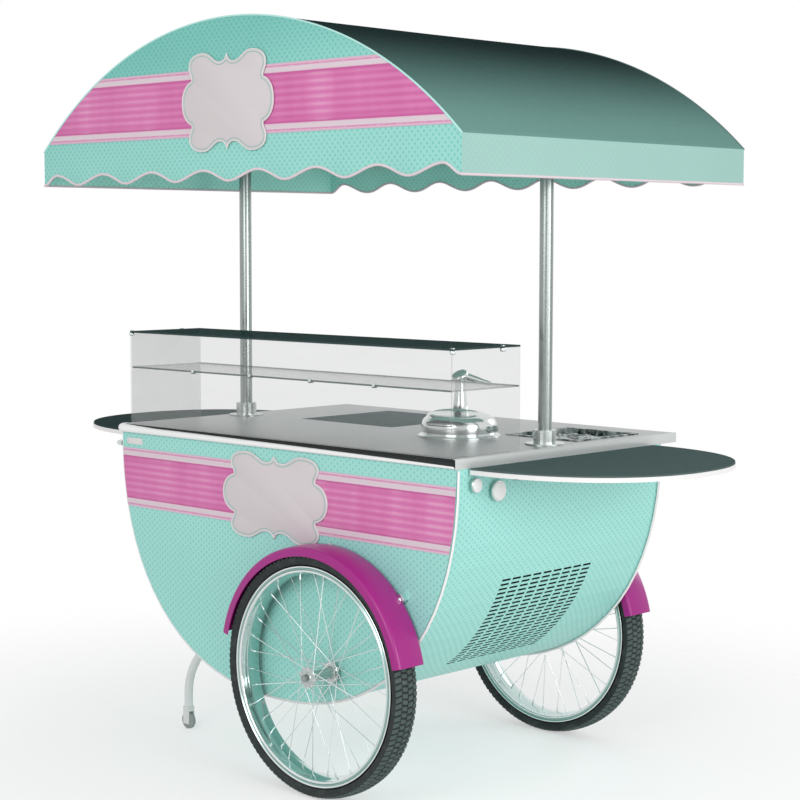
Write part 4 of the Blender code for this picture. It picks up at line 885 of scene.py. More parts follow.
class CART_OT_stage(bpy.types.Operator):
    """Pale floor, soft lamps, a white background and the camera"""

    bl_idname = "cart.stage"
    bl_label = "Stage"

    def execute(self, context):
        scene = context.scene
        scene.view_settings.view_transform = "Standard"
        self.camera(scene)
        self.world(scene)
        self.floor()
        for name, place, size, power in LAMPS:
            data = bpy.data.lights.new(name, "AREA")
            data.shape = "DISK"
            data.size = size
            data.energy = power
            turn = (LAMP_AIM - Vector(place)).to_track_quat("-Z", "Y").to_matrix().to_4x4()
            placed(name, data).matrix_world = Matrix.Translation(place) @ turn
        return {"FINISHED"}

    def camera(self, scene):
        made = placed("camera", bpy.data.cameras.new("camera"))
        made.data.lens = CAMERA_LENS
        made.data.sensor_width = CAMERA_SENSOR
        turn = Matrix.Rotation(CAMERA_YAW, 4, "Z") @ Matrix.Rotation(CAMERA_TILT, 4, "X")
        roll = Matrix.Rotation(CAMERA_ROLL, 4, "Z")
        made.matrix_world = Matrix.Translation(CAMERA_PLACE) @ turn @ roll
        scene.camera = made

    def world(self, scene):
        """White where the background is seen, also in metal and through glass; softer as light."""
        scene.world = scene.world or bpy.data.worlds.new("studio")
        f = Finish("studio", scene.world)
        seen, shiny, through = (f.node("ShaderNodeLightPath", output="Is {} Ray".format(kind))
                                for kind in ("Camera", "Glossy", "Transmission"))
        light, white = (f.node("ShaderNodeBackground", inputs={"Color": (1, 1, 1), "Strength": s})
                        for s in (WORLD_LIGHT, WORLD_SEEN))
        share = seen.most(shiny).most(through)
        mix = f.node("ShaderNodeMixShader", inputs={0: share, 1: light, 2: white})
        f.node("ShaderNodeOutputWorld", inputs={"Surface": mix})

    def floor(self):
        """A round pale floor that fades into the background."""
        form = bmesh.new()
        bmesh.ops.create_circle(form, cap_ends=True, segments=96, radius=FLOOR_RADIUS)
        mesh = mesh_of(form, outward=False)
        f = Finish("studio floor")
        place = f.place()
        x, y, _ = f.parts(place)
        fade = ((x * x + y * y) ** 0.5).rise(0.75, 2.6) * 0.52 + 0.48
        pale = f.shaded(tone(252, 252, 252), 0.99 + f.cloudy(place, 40, 3.0) * 0.02)
        diffuse = f.node("ShaderNodeBsdfDiffuse", inputs={"Color": pale})
        clear = f.node("ShaderNodeBsdfTransparent")
        mix = f.node("ShaderNodeMixShader", inputs={0: fade, 1: diffuse, 2: clear})
        f.node("ShaderNodeOutputMaterial", inputs={"Surface": mix})
        mesh.materials.append(f.material)
        made = placed("floor", mesh)
        made.location.z = FLOOR_DROP


# Finishes of the solids


class CART_OT_finishes(bpy.types.Operator):
    """Finishes for the solids that show as they are"""

    bl_idname = "cart.finishes"
    bl_label = "Finishes"

    def execute(self, context):
        c = context.scene.cart_colours
        s = context.scene.cart_sizes
        worn = (
            (dotted_board(c, s), "side_panel_near side_panel_far vendor_door"),
            (dotted_board(c, s, "tub skin", True), "tub_shell"),
            (enamel("leg enamel", tone(214, 217, 216), 0.36, 0.05),
             "leg_tube leg_fork leg_bracket"),
            (brushed_steel("worktop steel", c.steel, 0), "worktop"),
            (brushed_steel("frame steel", tone(150, 158, 157), 2, 0.34),
             "canopy_bearer_left canopy_bearer_right canopy_eave_rail_left canopy_eave_rail_right "
             "canopy_hoop_far canopy_hoop_near canopy_ridge_rail door_hinge_1 door_hinge_2 "
             "tray_bracket_left_far tray_bracket_left_near tray_bracket_right_far "
             "tray_bracket_right_near axle"),
            (bright_chrome("post chrome", tone(146, 153, 151), 0.17), "post_left post_right"),
            (bright_chrome("socket chrome", tone(190, 196, 194), 0.2),
             "post_socket_left post_socket_right"),
            (bright_chrome("bright chrome", c.chrome), "vendor_door_knob"),
            (enamel("white board", c.white, 0.38),
             "worktop_base tray_board_left tray_board_right inner_shelf unit_shelf"),
            (enamel("white piping", c.white, 0.46, 0.04), "piping_near piping_far"),
            (pebbled_mat(c.mat, "pebbled mat"), "tray_mat_right"),
            # Painted shade: a darker copy of the pebbled mat.
            (pebbled_mat(c.mat_left, "pebbled mat, left"), "tray_mat_left"),
            (pane("clear glass", c.glass, 0.14), "glass_front glass_end_left glass_end_right"),
            (pane("shelf glass", tone(146, 152, 151), 0.40, 0.1), "glass_shelf"),
            (pane("smoked glass", c.glass_top, 0.88, 0.0), "glass_top"),
            (enamel("unit grey", tone(122, 128, 130), 0.5), "cooling_unit"),
            (tyre_rubber("small tyre rubber", tone(142, 148, 147), 0.3), "leg_wheel"),
            (speckled_stone(c.stone), "cold_plate"),
            (crumpled_foil(tone(176, 186, 184)), "well_pan"),
        )
        for paint, names in worn:
            for name in names.split():
                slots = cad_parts[name].data.materials
                slots.clear()
                slots.append(paint)
        return {"FINISHED"}


# Canopy


HEM_WAVES = 3.5
RIM_EASE, CORNER_EASE, LOOSE_START, LOOSE_EASE = 0.08, 0.10, 0.022, 0.07
SOFT_SWELL, PULL_SWELL, LOOSE_SWELL, ROOF_SAG = 0.0022, 0.0012, 0.0045, 0.007
SKIRT_SWAY, SKIRT_LEAN = 0.003, 0.002


class Canopy:
    """The canopy's curve, hems and small swells, shared by its cloth and what is sewn on it."""

    def __init__(self, sizes):
        self.half = ROOF_HIGH.x
        self.wide = ROOF_HIGH.y
        self.bottom = ROOF_LOW.z
        self.eave = ROOF_LOW.z + sizes.skirt_depth
        rise = ROOF_HIGH.z - self.eave
        self.radius = (self.half ** 2 + rise ** 2) / (2 * rise)
        self.centre_z = ROOF_HIGH.z - self.radius
        self.wave = sizes.scallop_length
        self.drop = sizes.scallop_drop

    def arch_z(self, x):
        return self.centre_z + sqrt(max(self.radius ** 2 - x * x, 0))

    def arch_x(self, z):
        return min(sqrt(max(self.radius ** 2 - (z - self.centre_z) ** 2, 0)), self.half)

    def hem_z(self, x):
        """The wavy hem, which ends in a trough at each corner."""
        last = self.wave * HEM_WAVES
        if abs(x) > last:
            share = HEM_WAVES + 0.5 * (abs(x) - last) / (self.half - last)
        else:
            share = abs(x) / self.wave
        return self.bottom + self.drop * (1 - cos(2 * pi * share)) / 2

    def swell(self, x, z):
        """How far an end's cloth stands out from its flat, in metres."""
        rim = min(max((self.arch_z(x) - z) / RIM_EASE, 0), 1)
        side = min(max((self.half - abs(x)) / CORNER_EASE, 0), 1)
        soft = 0.5 + 0.5 * noise.noise(Vector((x * 3.1, z * 4.3, 0.7)))
        pull = 0.5 + 0.5 * noise.noise(Vector((x * 9.0, z * 2.0, 3.1)))
        out = (SOFT_SWELL * soft + PULL_SWELL * pull) * rim * side
        loose = min(max((self.eave - LOOSE_START - z) / LOOSE_EASE, 0), 1)
        return out + LOOSE_SWELL * loose * loose * side * sin(2 * pi * x / self.wave + 0.6)

    def sag(self, angle, y):
        """How far the roof cloth hangs in between its rails, in metres."""
        across = abs(angle) / self.reach()
        free = sin(pi * min(across, 1)) ** 2
        along = max(1 - (y / self.wide) ** 2, 0)
        soft = 0.7 + 0.3 * noise.noise(Vector((angle * 5, y * 3.0, 1.7)))
        return ROOF_SAG * free * along * soft

    def reach(self):
        return atan2(self.half, self.eave - self.centre_z)

    def end_point(self, x, z, side, lift=0.0):
        """A point on an end's cloth, or standing out from it."""
        return x, side * (self.wide + self.swell(x, z) + lift), z

    def skirt_point(self, y, z, side, share=1.0):
        """A point on a straight skirt, looser by its share of the way down."""
        edge = min((self.wide - abs(y)) / CORNER_EASE, 1)
        sway = share * edge * (SKIRT_SWAY * sin(y * 17 + side) + SKIRT_LEAN)
        return side * (self.half + sway), y, z


CLOTH_COLUMNS, CLOTH_STEPS, SKIRT_ROWS, END_ROWS = 120, 36, 8, 16
HEM_STEPS, SKIRT_STEPS, SEAM_STEPS = 180, 60, 120
RIBBON_ROWS, RIBBON_STEPS, RIBBON_DEPTH, RIBBON_INSET = 10, 140, 0.0007, 0.0045
SEAM_INSET, SEAM_LIFT, SEAM_MARGIN = 0.008, 0.0014, 0.002
BEAD_SIDES, ARCH_BEAD, ARCH_BEAD_SIDES, ARCH_BEAD_SINK = 10, 0.0026, 8, 0.0005


def canopy_mesh(canopy):
    """The whole cloth as one open sheet: roof, skirts and two arched ends."""
    form = bmesh.new()
    angles = spread(canopy.reach(), CLOTH_COLUMNS)
    ys = spread(canopy.wide, CLOTH_STEPS)
    rows = []
    for y in ys:
        row = []
        for angle in angles:
            radius = canopy.radius - canopy.sag(angle, y)
            row.append((radius * sin(angle), y, canopy.centre_z + radius * cos(angle)))
        rows.append(row)
    add_grid(form, rows)
    for side in (-1, 1):
        rows = []
        for i in range(SKIRT_ROWS + 1):
            share = i / SKIRT_ROWS
            z = canopy.eave + (canopy.bottom - canopy.eave) * share
            rows.append([canopy.skirt_point(y, z, side, share) for y in ys])
        add_grid(form, rows)
    for side in (-1, 1):
        rows = []
        for angle in angles:
            x = canopy.radius * sin(angle)
            top = canopy.centre_z + canopy.radius * cos(angle)
            fall = canopy.hem_z(x) - canopy.eave
            row = [top + (canopy.eave - top) * j / END_ROWS for j in range(END_ROWS)]
            row += [canopy.eave + fall * j / SKIRT_ROWS for j in range(SKIRT_ROWS + 1)]
            rows.append([canopy.end_point(x, z, side) for z in row])
        add_grid(form, rows)
    mesh = mesh_of(form, "canopy_cloth")
    top = max(mesh.polygons, key=lambda p: p.center.z)
    if top.normal.z < 0:
        mesh.flip_normals()
    return mesh


def bands(colours, name, low, high, lace, lift):
    """A satin band between two lace edgings: name, ends, finish and how far each stands out."""
    satin = satin_ribbon(colours, low + lace, high - lace)
    return ((name, low + lace, high - lace, satin, lift),
            ("lace_low", low, low + lace, lace_edging(colours, low, 1), lift + 0.0003),
            ("lace_high", high - lace, high, lace_edging(colours, high, -1), lift + 0.0003))


class CART_OT_canopy(bpy.types.Operator):
    """The canopy's cloth, its piping, stitching, ribbons and lace"""

    bl_idname = "cart.canopy"
    bl_label = "Canopy"

    def execute(self, context):
        c = context.scene.cart_colours
        s = context.scene.cart_sizes
        canopy = Canopy(s)
        flat = canopy_mesh(canopy)
        cloth = new_piece("canopy_cloth", thickened(flat, s.cloth_thickness), canopy_cloth(c, s),
                          smooth=radians(50))
        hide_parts("canopy_roof", "canopy_end_near", "canopy_end_far")
        trim = self.piping(canopy, s, c) + self.ribbons(canopy, s, c)
        arc = 2 * canopy.radius * canopy.reach() + 2 * s.skirt_depth
        return {"FINISHED"}

    def piping(self, canopy, s, c):
        """Beads on the hems and, thinner, on the arched edges."""
        white = enamel("canopy piping", c.piping, 0.5, 0.05)
        # Painted shade: the far arch piping is a darker copy of the near arch piping.
        edges = (enamel("arch piping", tone(176, 226, 218), 0.5, 0.05),
                 enamel("far arch piping", tone(84, 112, 108), 0.6, 0.05))
        xs = spread(canopy.half, HEM_STEPS)
        beads = []
        for (name, side), edge in zip(SIDES, edges):
            hem = [canopy.end_point(x, canopy.hem_z(x), side) for x in xs]
            y = side * (canopy.wide + ARCH_BEAD_SINK)
            arch = [(x, y, canopy.arch_z(x) - ARCH_BEAD_SINK) for x in xs]
            beads.append(("canopy_hem_bead_" + name, hem, s.piping_radius, BEAD_SIDES, white))
            beads.append(("canopy_arch_bead_" + name, arch, ARCH_BEAD, ARCH_BEAD_SIDES, edge))
        for name, side in (("left", -1), ("right", 1)):
            run = [canopy.skirt_point(y, canopy.bottom, side)
                   for y in spread(canopy.wide, SKIRT_STEPS)]
            beads.append(("canopy_skirt_bead_" + name, run, s.piping_radius, BEAD_SIDES, white))
        return [new_piece(name, bead([path], radius, sides, paint), paint)
                for name, path, radius, sides, paint in beads]

    def ribbons(self, canopy, s, c):
        """A satin band between two lace edgings across each arched end."""
        low, high, lace = s.canopy_ribbon_low, s.canopy_ribbon_high, s.lace_height
        across = bands(c, "ribbon", low, high, lace, 0.0009)
        thread = enamel("pink thread", tone(226, 160, 196), 0.6)
        made = []
        for end, side in SIDES:
            for name, bottom, top, paint, lift in across:
                rows = []
                for j in range(RIBBON_ROWS + 1):
                    z = bottom + (top - bottom) * j / RIBBON_ROWS
                    xs = spread(canopy.arch_x(z) - RIBBON_INSET, RIBBON_STEPS)
                    rows.append([canopy.end_point(x, z, side, lift) for x in xs])
                mesh = faced_sheet(rows, Vector((0, side, 0)), RIBBON_DEPTH)
                made.append(new_piece("canopy_{}_{}".format(name, end), mesh, paint))
            seams = [[canopy.end_point(x, z, side, SEAM_LIFT)
                      for x in spread(canopy.arch_x(z) - SEAM_INSET, SEAM_STEPS)]
                     for z in (low + SEAM_MARGIN, low + lace - SEAM_MARGIN,
                               high - lace + SEAM_MARGIN, high - SEAM_MARGIN)]
            mesh = run_tree(path_mesh(seams), stitch_tree, Pitch=0.0065, Radius=0.0005, Share=0.6,
                            Material=thread)
            made.append(new_piece("canopy_stitches_" + end, mesh, thread))
        return made


# Plates


PLATE_CURVES = (
    ((0.0, 0.96), (0.03, 0.85), (0.07, 0.80), (0.16, 0.80)),
    ((0.16, 0.80), (0.29, 0.80), (0.36, 1.0), (0.53, 1.0)),
    ((0.53, 1.0), (0.72, 1.0), (0.84, 0.90), (0.84, 0.72)),
    ((0.84, 0.72), (0.84, 0.60), (0.77, 0.54), (0.78, 0.45)),
    ((0.78, 0.45), (0.92, 0.40), (1.0, 0.22), (1.0, 0.0)),
)


def plate_outline(half_x, half_z, steps=10):
    """A plate with a cusp and two lobes above and below, and one lobe at each side."""
    quarter = []
    for a, b, c, d in PLATE_CURVES:
        for i in range(steps):
            t = i / steps
            u = 1 - t
            weights = (u ** 3, 3 * u * u * t, 3 * u * t * t, t ** 3)
            quarter.append(tuple(sum(w * p[k] for w, p in zip(weights, (a, b, c, d)))
                                 for k in (0, 1)))
    quarter.append((1.0, 0.0))
    right = quarter + [(x, -z) for x, z in quarter[-2::-1]]
    whole = right + [(-x, z) for x, z in right[-2:0:-1]]
    return [(x * half_x, z * half_z) for x, z in whole]


def inset_outline(outline, inset):
    """The outline moved inwards along its normals, with pinched loops left out."""
    count = len(outline)
    moved = []
    for i in range(count):
        (ax, az), (bx, bz) = outline[i - 1], outline[(i + 1) % count]
        run = Vector((bx - ax, bz - az)).normalized()
        x, z = outline[i]
        moved.append(Vector((x + run.y * inset, z - run.x * inset)))
    kept = []
    for i, point in enumerate(moved):
        near = min((Vector(outline[j]) - point).length for j in range(count))
        if near > inset * 0.93:
            kept.append(tuple(point))
    return kept


CANOPY_PLATE, CANOPY_PLATE_HALF, CANOPY_PLATE_DEPTH = (-0.004, 1.886), (0.187, 0.1345), 0.003
TUB_PLATE, TUB_PLATE_HALF, TUB_PLATE_DEPTH = (-0.002, 0.792), (0.2157, 0.1235), 0.0035
SMALL_PLATE_LOW, SMALL_PLATE_HIGH = (-0.662, 0.8955), (-0.590, 0.9145)


class CART_OT_plates(bpy.types.Operator):
    """The blank scalloped plates and the small blank plate"""

    bl_idname = "cart.plates"
    bl_label = "Plates"

    def execute(self, context):
        face = enamel("plate enamel", context.scene.cart_colours.plate, 0.45, 0.03)
        rim = enamel("plate rim", tone(222, 218, 218), 0.45)
        line = enamel("plate line", tone(150, 190, 184), 0.5)
        self.plate("canopy_plate", CANOPY_PLATE, CANOPY_PLATE_HALF, -(ROOF_HIGH.y + 0.0042),
                   CANOPY_PLATE_DEPTH, face, rim, line)
        self.plate("tub_plate", TUB_PLATE, TUB_PLATE_HALF, -(PANEL_Y + 0.0012),
                   TUB_PLATE_DEPTH, face, rim, line)
        self.small_plate(rim)
        return {"FINISHED"}

    def plate(self, name, centre, half, back, depth, face, rim, line):
        """A plate with a raised rim and a fine line inside it."""
        outline = [(x + centre[0], z + centre[1]) for x, z in plate_outline(*half)]
        front = back - depth
        new_piece(name, plate_form(outline, front, back, 0.0008), face,
                  smooth=radians(30))
        for part, inset, rise, radius, sides, paint in (("_rim", 0.0018, 0.0002, 0.0016, 8, rim),
                                                        ("_line", 0.0085, 0, 0.0012, 6, line)):
            route = [(x, front + rise, z) for x, z in inset_outline(outline, inset)]
            new_piece(name + part, bead([route], radius, sides, paint, True), paint)

    def small_plate(self, rim):
        """The little blank plate at the panel's left end, on two pins."""
        (left, bottom), (right, top) = SMALL_PLATE_LOW, SMALL_PLATE_HIGH
        low = Vector((left, -PANEL_Y - 0.0022, bottom))
        high = Vector((right, -PANEL_Y - 0.0002, top))
        new_piece("small_plate", block_form(low, high, 0.0006), rim)
        places = [(Vector((x, low.y, (low.z + high.z) / 2)), Vector((0, -1, 0)))
                  for x in (low.x + 0.005, high.x - 0.005)]
        pin = bright_chrome("pin chrome", tone(190, 194, 194))
        new_piece("small_plate_pins", studs(places, dome(0.0018, 0.0009, 10), pin), pin)


# Tub


def tub_x(z):
    """Half the tub's length at a height."""
    share = min(max((TUB_FACE - z) / TUB_DROP, 0), 1)
    return TUB_HALF * (1 - share ** TUB_EXPONENT) ** (1 / TUB_EXPONENT)


BAND_ROWS, BAND_STEPS, BAND_DEPTH, BAND_GAP = 8, 60, 0.0006, 0.004


class CART_OT_tub(bpy.types.Operator):
    """Satin bands and lace across the tub's sides"""

    bl_idname = "cart.tub"
    bl_label = "Tub bands"

    def execute(self, context):
        c = context.scene.cart_colours
        s = context.scene.cart_sizes
        door_low, door_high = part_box("vendor_door")
        gap = (door_low.x - 0.0025, door_high.x + 0.005)
        for name, bottom, top, paint, lift in bands(c, "band", s.tub_ribbon_low, s.tub_ribbon_high,
                                                    s.lace_height, 0.0004):
            strips = [("near", -1, bottom, top, None, None, "cart")]
            if bottom >= door_high.z:
                strips.append(("far", 1, bottom, top, None, None, "cart"))
            else:
                below = min(top, door_high.z - 0.002)
                strips += [("far_left", 1, bottom, top, None, gap[0], "cart"),
                           ("far_right", 1, bottom, top, gap[1], None, "cart"),
                           ("door", 1, bottom, below, door_low.x, door_high.x, "door_body")]
                over = door_high.z + BAND_GAP
                if top > over:
                    strips.append(("far_over", 1, over, top, *gap, "cart"))
            for end, *place, body in strips:
                mesh = self.strip(lift, *place)
                new_piece("tub_{}_{}".format(name, end), mesh, paint, body)
        return {"FINISHED"}

    def strip(self, lift, side, bottom, top, left, right):
        """One band on a side panel, between two ends or the panel's own edges."""
        rows = []
        y = side * (PANEL_Y + lift + BAND_DEPTH)
        for j in range(BAND_ROWS + 1):
            z = bottom + (top - bottom) * j / BAND_ROWS
            reach = tub_x(z) - BAND_DEPTH
            first = -reach if left is None else left
            last = reach if right is None else right
            rows.append([(first + (last - first) * i / BAND_STEPS, y, z)
                         for i in range(BAND_STEPS + 1)])
        return faced_sheet(rows, Vector((0, side, 0)), BAND_DEPTH)


# Wheels


TYRE_STEPS, RIM_STEPS, HUB_STEPS, FENDER_STEPS = 144, 160, 64, 96
CROWN_FALL, CROWN_POWER, CROWN_POINTS = 0.0062, 2.4, 8
TREAD_SINK, TREAD_MIDDLE, TREAD_JITTER = -0.0025, 0.0215, 0.04
RIM_HALF = 0.036
SPOKE_FOOT, SPOKE_HEAD, SPOKE_LACING, SPOKE_ASIDE = 0.0262, RIM_LIP - 0.0256, 2.5, 0.0013
FENDER_HALF, FENDER_SKIRT, FENDER_CROWN, FENDER_TIP = 0.049, 0.021, 0.004, radians(12.5)
STAY_ANGLES = (radians(42), radians(90), radians(138))


def wheels():
    """Each wheel's name, side, middle and body."""
    for name, side in SIDES:
        centre = Vector((WHEEL_CENTRE.x, side * abs(WHEEL_CENTRE.y), WHEEL_CENTRE.z))
        yield name, side, centre, "wheel_{}_body".format(name)


def tyre_crown(y):
    """How far the tread falls away from its middle."""
    return CROWN_FALL * (abs(y) / TREAD_HALF) ** CROWN_POWER


def tread_block(depth, y_low, y_high, turn, width, lean):
    """One tread block at an angle, tapered to its top."""
    middle, half = (y_low + y_high) / 2, (y_high - y_low) / 2
    rings = []
    for rise, shrink in ((TREAD_SINK, 0.0), (depth * 0.75, 0.0006), (depth, 0.0016)):
        ring = []
        for su, sv in ((-1, -1), (1, -1), (1, 1), (-1, 1)):
            y = middle + sv * (half - shrink)
            along = su * (width / 2 - shrink) + lean * (y - middle)
            out = TYRE_RADIUS - tyre_crown(y) + rise - depth
            angle = turn + along / TYRE_RADIUS
            ring.append((out * cos(angle), y, out * sin(angle)))
        rings.append(ring)
    return rings_form(rings)


class CART_OT_tyres(bpy.types.Operator):
    """Moulded tyres with rows of tread blocks"""

    bl_idname = "cart.tyres"
    bl_label = "Tyres"

    def execute(self, context):
        c = context.scene.cart_colours
        depth = context.scene.cart_sizes.tread_depth
        count = context.scene.cart_counts.tread_rows
        rubber = tyre_rubber("tyre rubber", c.rubber, 0.12)
        tread = tyre_rubber("tread rubber", c.tread, 0.22)
        wall = ((-0.0095, 0.0245), (0.0008, 0.0245), (0.0020, 0.0310), (0.0060, 0.0362),
                (0.0100, 0.0380), (0.0108, 0.0374), (0.0140, TREAD_HALF))
        section = [(RIM_LIP + rise, y) for rise, y in wall]
        for i in range(CROWN_POINTS + 1):
            y = (TREAD_HALF - 0.0008) * (1 - i / CROWN_POINTS)
            section.append((TYRE_RADIUS - depth - tyre_crown(y), y))
        section += mirrored(section[:-1])
        pitch = 2 * pi / count
        arc = pitch * TYRE_RADIUS
        outer, inner = TREAD_HALF - 0.0006, TREAD_MIDDLE
        rows = ((-outer, -inner, 0.5, 0.72, 0.25), (0.002 - inner, -0.0012, 0.0, 0.70, -0.15),
                (0.0012, inner - 0.002, 0.5, 0.70, 0.15), (inner, outer, 0.0, 0.72, -0.25))
        for name, side, centre, body in wheels():
            carcass = turned(section, centre, TYRE_STEPS)
            made = new_piece("tyre_carcass_" + name, carcass, rubber, body, radians(40))
            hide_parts("tyre_" + name)
            blocks = [tread_block(depth, low, high, pitch * shift, arc * share, lean)
                      for low, high, shift, share, lean in rows]
            mesh = run_tree(merged(blocks), ring_tree, Count=count, Jitter=TREAD_JITTER,
                            Material=tread)
            mesh.transform(Matrix.Translation(centre))
            new_piece("tyre_tread_" + name, mesh, tread, body, radians(30))
        return {"FINISHED"}


class CART_OT_wheels(bpy.types.Operator):
    """Box rims, hubs with flanges, crossed spokes and nipples"""

    bl_idname = "cart.wheels"
    bl_label = "Wheels"

    def execute(self, context):
        c = context.scene.cart_colours
        radius = context.scene.cart_sizes.spoke_radius
        count = context.scene.cart_counts.spokes
        chrome = bright_chrome("hub chrome", tone(184, 191, 189), 0.16)
        bright = rim_chrome(c.chrome, WHEEL_CENTRE, RIM_LIP)
        wire = bright_chrome("spoke steel", tone(224, 228, 228), 0.20)
        for name, side, centre, body in wheels():
            made = new_piece("wheel_rim_" + name, self.rim(centre), bright, body,
                             smooth=radians(50))
            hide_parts("wheel_" + name)
            new_piece("wheel_hub_" + name, self.hub(centre), chrome, body, smooth=radians(30))
            mesh = run_tree(self.spokes(radius, count), ring_tree, Count=count // 4, Jitter=0.0,
                            Material=wire)
            mesh.transform(Matrix.Translation(centre))
            new_piece("wheel_spokes_" + name, mesh, wire, body, smooth=radians(60))
        return {"FINISHED"}

    def rim(self, centre):
        """A deep box rim with two rounded lips and a hollowed inner face."""
        drops = ((0.0100, 0.0115), (0.0012, 0.0050), (0.0, 0.0032), (0.0006, 0.0010),
                 (0.0024, 0.0), (0.0044, 0.0006), (0.0056, 0.0026), (0.0080, 0.0040),
                 (0.0102, 0.0034), (0.0116, 0.0014), (0.0134, 0.0004), (0.0158, 0.0004),
                 (0.0176, 0.0016), (0.0188, 0.0040), (0.0198, 0.0085), (0.0212, 0.0135),
                 (0.0230, 0.0190), (0.0252, 0.0250))
        side = [(RIM_LIP - drop, RIM_HALF - inward) for drop, inward in drops]
        return turned(side + [(RIM_LIP - 0.0262, 0.0)] + mirrored(side), centre, RIM_STEPS)

    def hub(self, centre):
        """A turned barrel with two flanges and stepped ends."""
        bore, barrel, flange = 0.0088, 0.0150, 0.0290
        side = [(bore, 0.0500), (0.0115, 0.0500), (0.0140, 0.0488), (0.0150, 0.0468),
                (0.0165, 0.0462), (flange - 0.0012, 0.0458), (flange, 0.0446), (flange, 0.0424),
                (flange - 0.0012, 0.0412), (0.0185, 0.0408), (0.0165, 0.0385), (0.0152, 0.0330),
                (barrel, 0.0250)]
        return turned(side + [(barrel - 0.0012, 0.0)] + mirrored(side), centre, HUB_STEPS)

    def spokes(self, radius, count):
        """Four spokes of one group, laced across each other from the two flanges to the rim."""
        pitch = 4 * pi / count
        forms = []
        for flange, phase in ((-1, 0.25), (1, 0.75)):
            for lean in (-1, 1):
                aside = Vector((0, lean * SPOKE_ASIDE, 0))
                end_angle = pitch * ((lean > 0) + phase)
                hub_angle = end_angle + lean * pitch * SPOKE_LACING
                start, end = (Vector((reach * cos(angle), flange * y, reach * sin(angle))) + aside
                              for reach, angle, y in ((SPOKE_FOOT, hub_angle, 0.0435),
                                                      (SPOKE_HEAD, end_angle, 0.005)))
                run = (end - start).normalized()
                out = Vector((0, lean, 0))
                forms += [self.rod(start, end, radius),
                          self.rod(end - run * 0.013, end + run * 0.001, radius * 1.9),
                          self.rod(start - out * 0.0016, start + out * 0.0036, radius * 1.7, 8)]
        return merged(forms)

    def rod(self, start, end, radius, sides=6):
        form = bmesh.new()
        run = end - start
        turn = run.to_track_quat("Z", "Y").to_matrix().to_4x4()
        bmesh.ops.create_cone(form, cap_ends=True, segments=sides, radius1=radius, radius2=radius,
                              depth=run.length, matrix=Matrix.Translation(start + run / 2) @ turn)
        return form


class CART_OT_fenders(bpy.types.Operator):
    """Rolled fenders with chrome stays and bolts"""

    bl_idname = "cart.fenders"
    bl_label = "Fenders"

    def execute(self, context):
        c = context.scene.cart_colours
        paint = enamel("fender paint", c.magenta, 0.30, 0.06, 0.14, coat=0.15, shine=0.3)
        chrome = bright_chrome("stay chrome", c.chrome, 0.12)
        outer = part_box("fender_near")[1].z - WHEEL_CENTRE.z
        base = outer - FENDER_CROWN - 0.0015
        section = self.section(base)
        for name, side, centre, _ in wheels():
            mesh = turned(section, centre, FENDER_STEPS, FENDER_TIP, pi - 2 * FENDER_TIP)
            made = new_piece("fender_sheet_" + name, mesh, paint,
                             smooth=radians(40))
            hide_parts("fender_" + name)
            stays, bolts = [], []
            for angle in STAY_ANGLES:
                stays += self.stay(base, angle, side)
                out = Vector((cos(angle), 0, sin(angle)))
                for reach, y, way in ((base - 0.017, 0.0042, Vector((0, side, 0))),
                                      (outer - 0.001, 0.016, out)):
                    spot = centre + out * reach
                    spot.y = side * (PANEL_Y + y)
                    bolts.append((spot, way))
            new_piece("fender_stays_" + name, merged(stays), chrome)
            heads = studs(bolts, dome(0.0042, 0.0024, 12, 0.0058), chrome)
            new_piece("fender_bolts_" + name, heads, chrome)
        return {"FINISHED"}

    def section(self, base):
        """The rolled sheet with a crowned top and a beaded skirt at each side."""
        half, bottom = FENDER_HALF, base - FENDER_SKIRT
        crowns = [half * (0.90 - 1.8 * i / 14) for i in range(15)]
        top = [(base + FENDER_CROWN * (1 - (a / half) ** 2) + 0.0014, a) for a in crowns]
        under = [(r - 0.0028, a * 0.985) for r, a in top]
        fall = [(bottom - 0.0016, half - 0.0006), (bottom - 0.0010, half + 0.0010),
                (bottom, half + 0.0018), (bottom + 0.0030, half + 0.0012),
                (base - 0.0075, half + 0.0010), (base - 0.0030, half + 0.0002),
                (base, half - 0.0018)]
        inner = [(base - 0.0030, half - 0.0040), (base - 0.0080, half - 0.0016),
                 (bottom + 0.0030, half - 0.0012)]
        return fall + top + mirrored(fall) + mirrored(inner) + under[::-1] + inner

    def stay(self, base, angle, side):
        """A stay's blocks between the panel and the fender, the front one with a clip."""
        blocks = [((base - 0.0075, 0.0003, 0.0110), (base - 0.0030, 0.0200), 0.0007),
                  ((base - 0.0260, 0.0003, 0.0110), (base - 0.0030, 0.0042), 0.0007)]
        if angle == STAY_ANGLES[0]:
            blocks.append(((base - 0.006, 0.0004, 0.0115), (base + 0.016, 0.018), 0.0012))
        shift = Matrix.Translation((WHEEL_CENTRE.x, 0, WHEEL_CENTRE.z))
        turn = Matrix.Rotation(-angle, 4, "Y")
        forms = []
        for (low, near, wide), (high, far), bevel in blocks:
            form = block_form((low, PANEL_Y + near, -wide), (high, PANEL_Y + far, wide), bevel)
            bmesh.ops.transform(form, matrix=shift @ turn, verts=form.verts)
            if side < 0:
                bmesh.ops.scale(form, vec=(1, -1, 1), verts=form.verts)
            forms.append(form)
        return forms


# Display case and worktop


CLIP_PLACES = (-0.363, -0.115, 0.134, 0.380)
CLIP_HALF, CLIP_BEVEL = 0.005, 0.0006
SEAL_STEPS, SEAL_DEPTH, SEAL_GAIN = 40, 0.0050, 0.0150
NOSE_CORNER, NOSE_THICK, NOSE_PROUD, NOSE_SLIM = 0.022, 0.0125, 0.010, 0.0038
LINER_STEPS, LINER_MARGIN, LINER_LUMP = 48, 0.016, 0.011
LEFT_FITTING = (-0.6940, -0.4300, 0.8940)


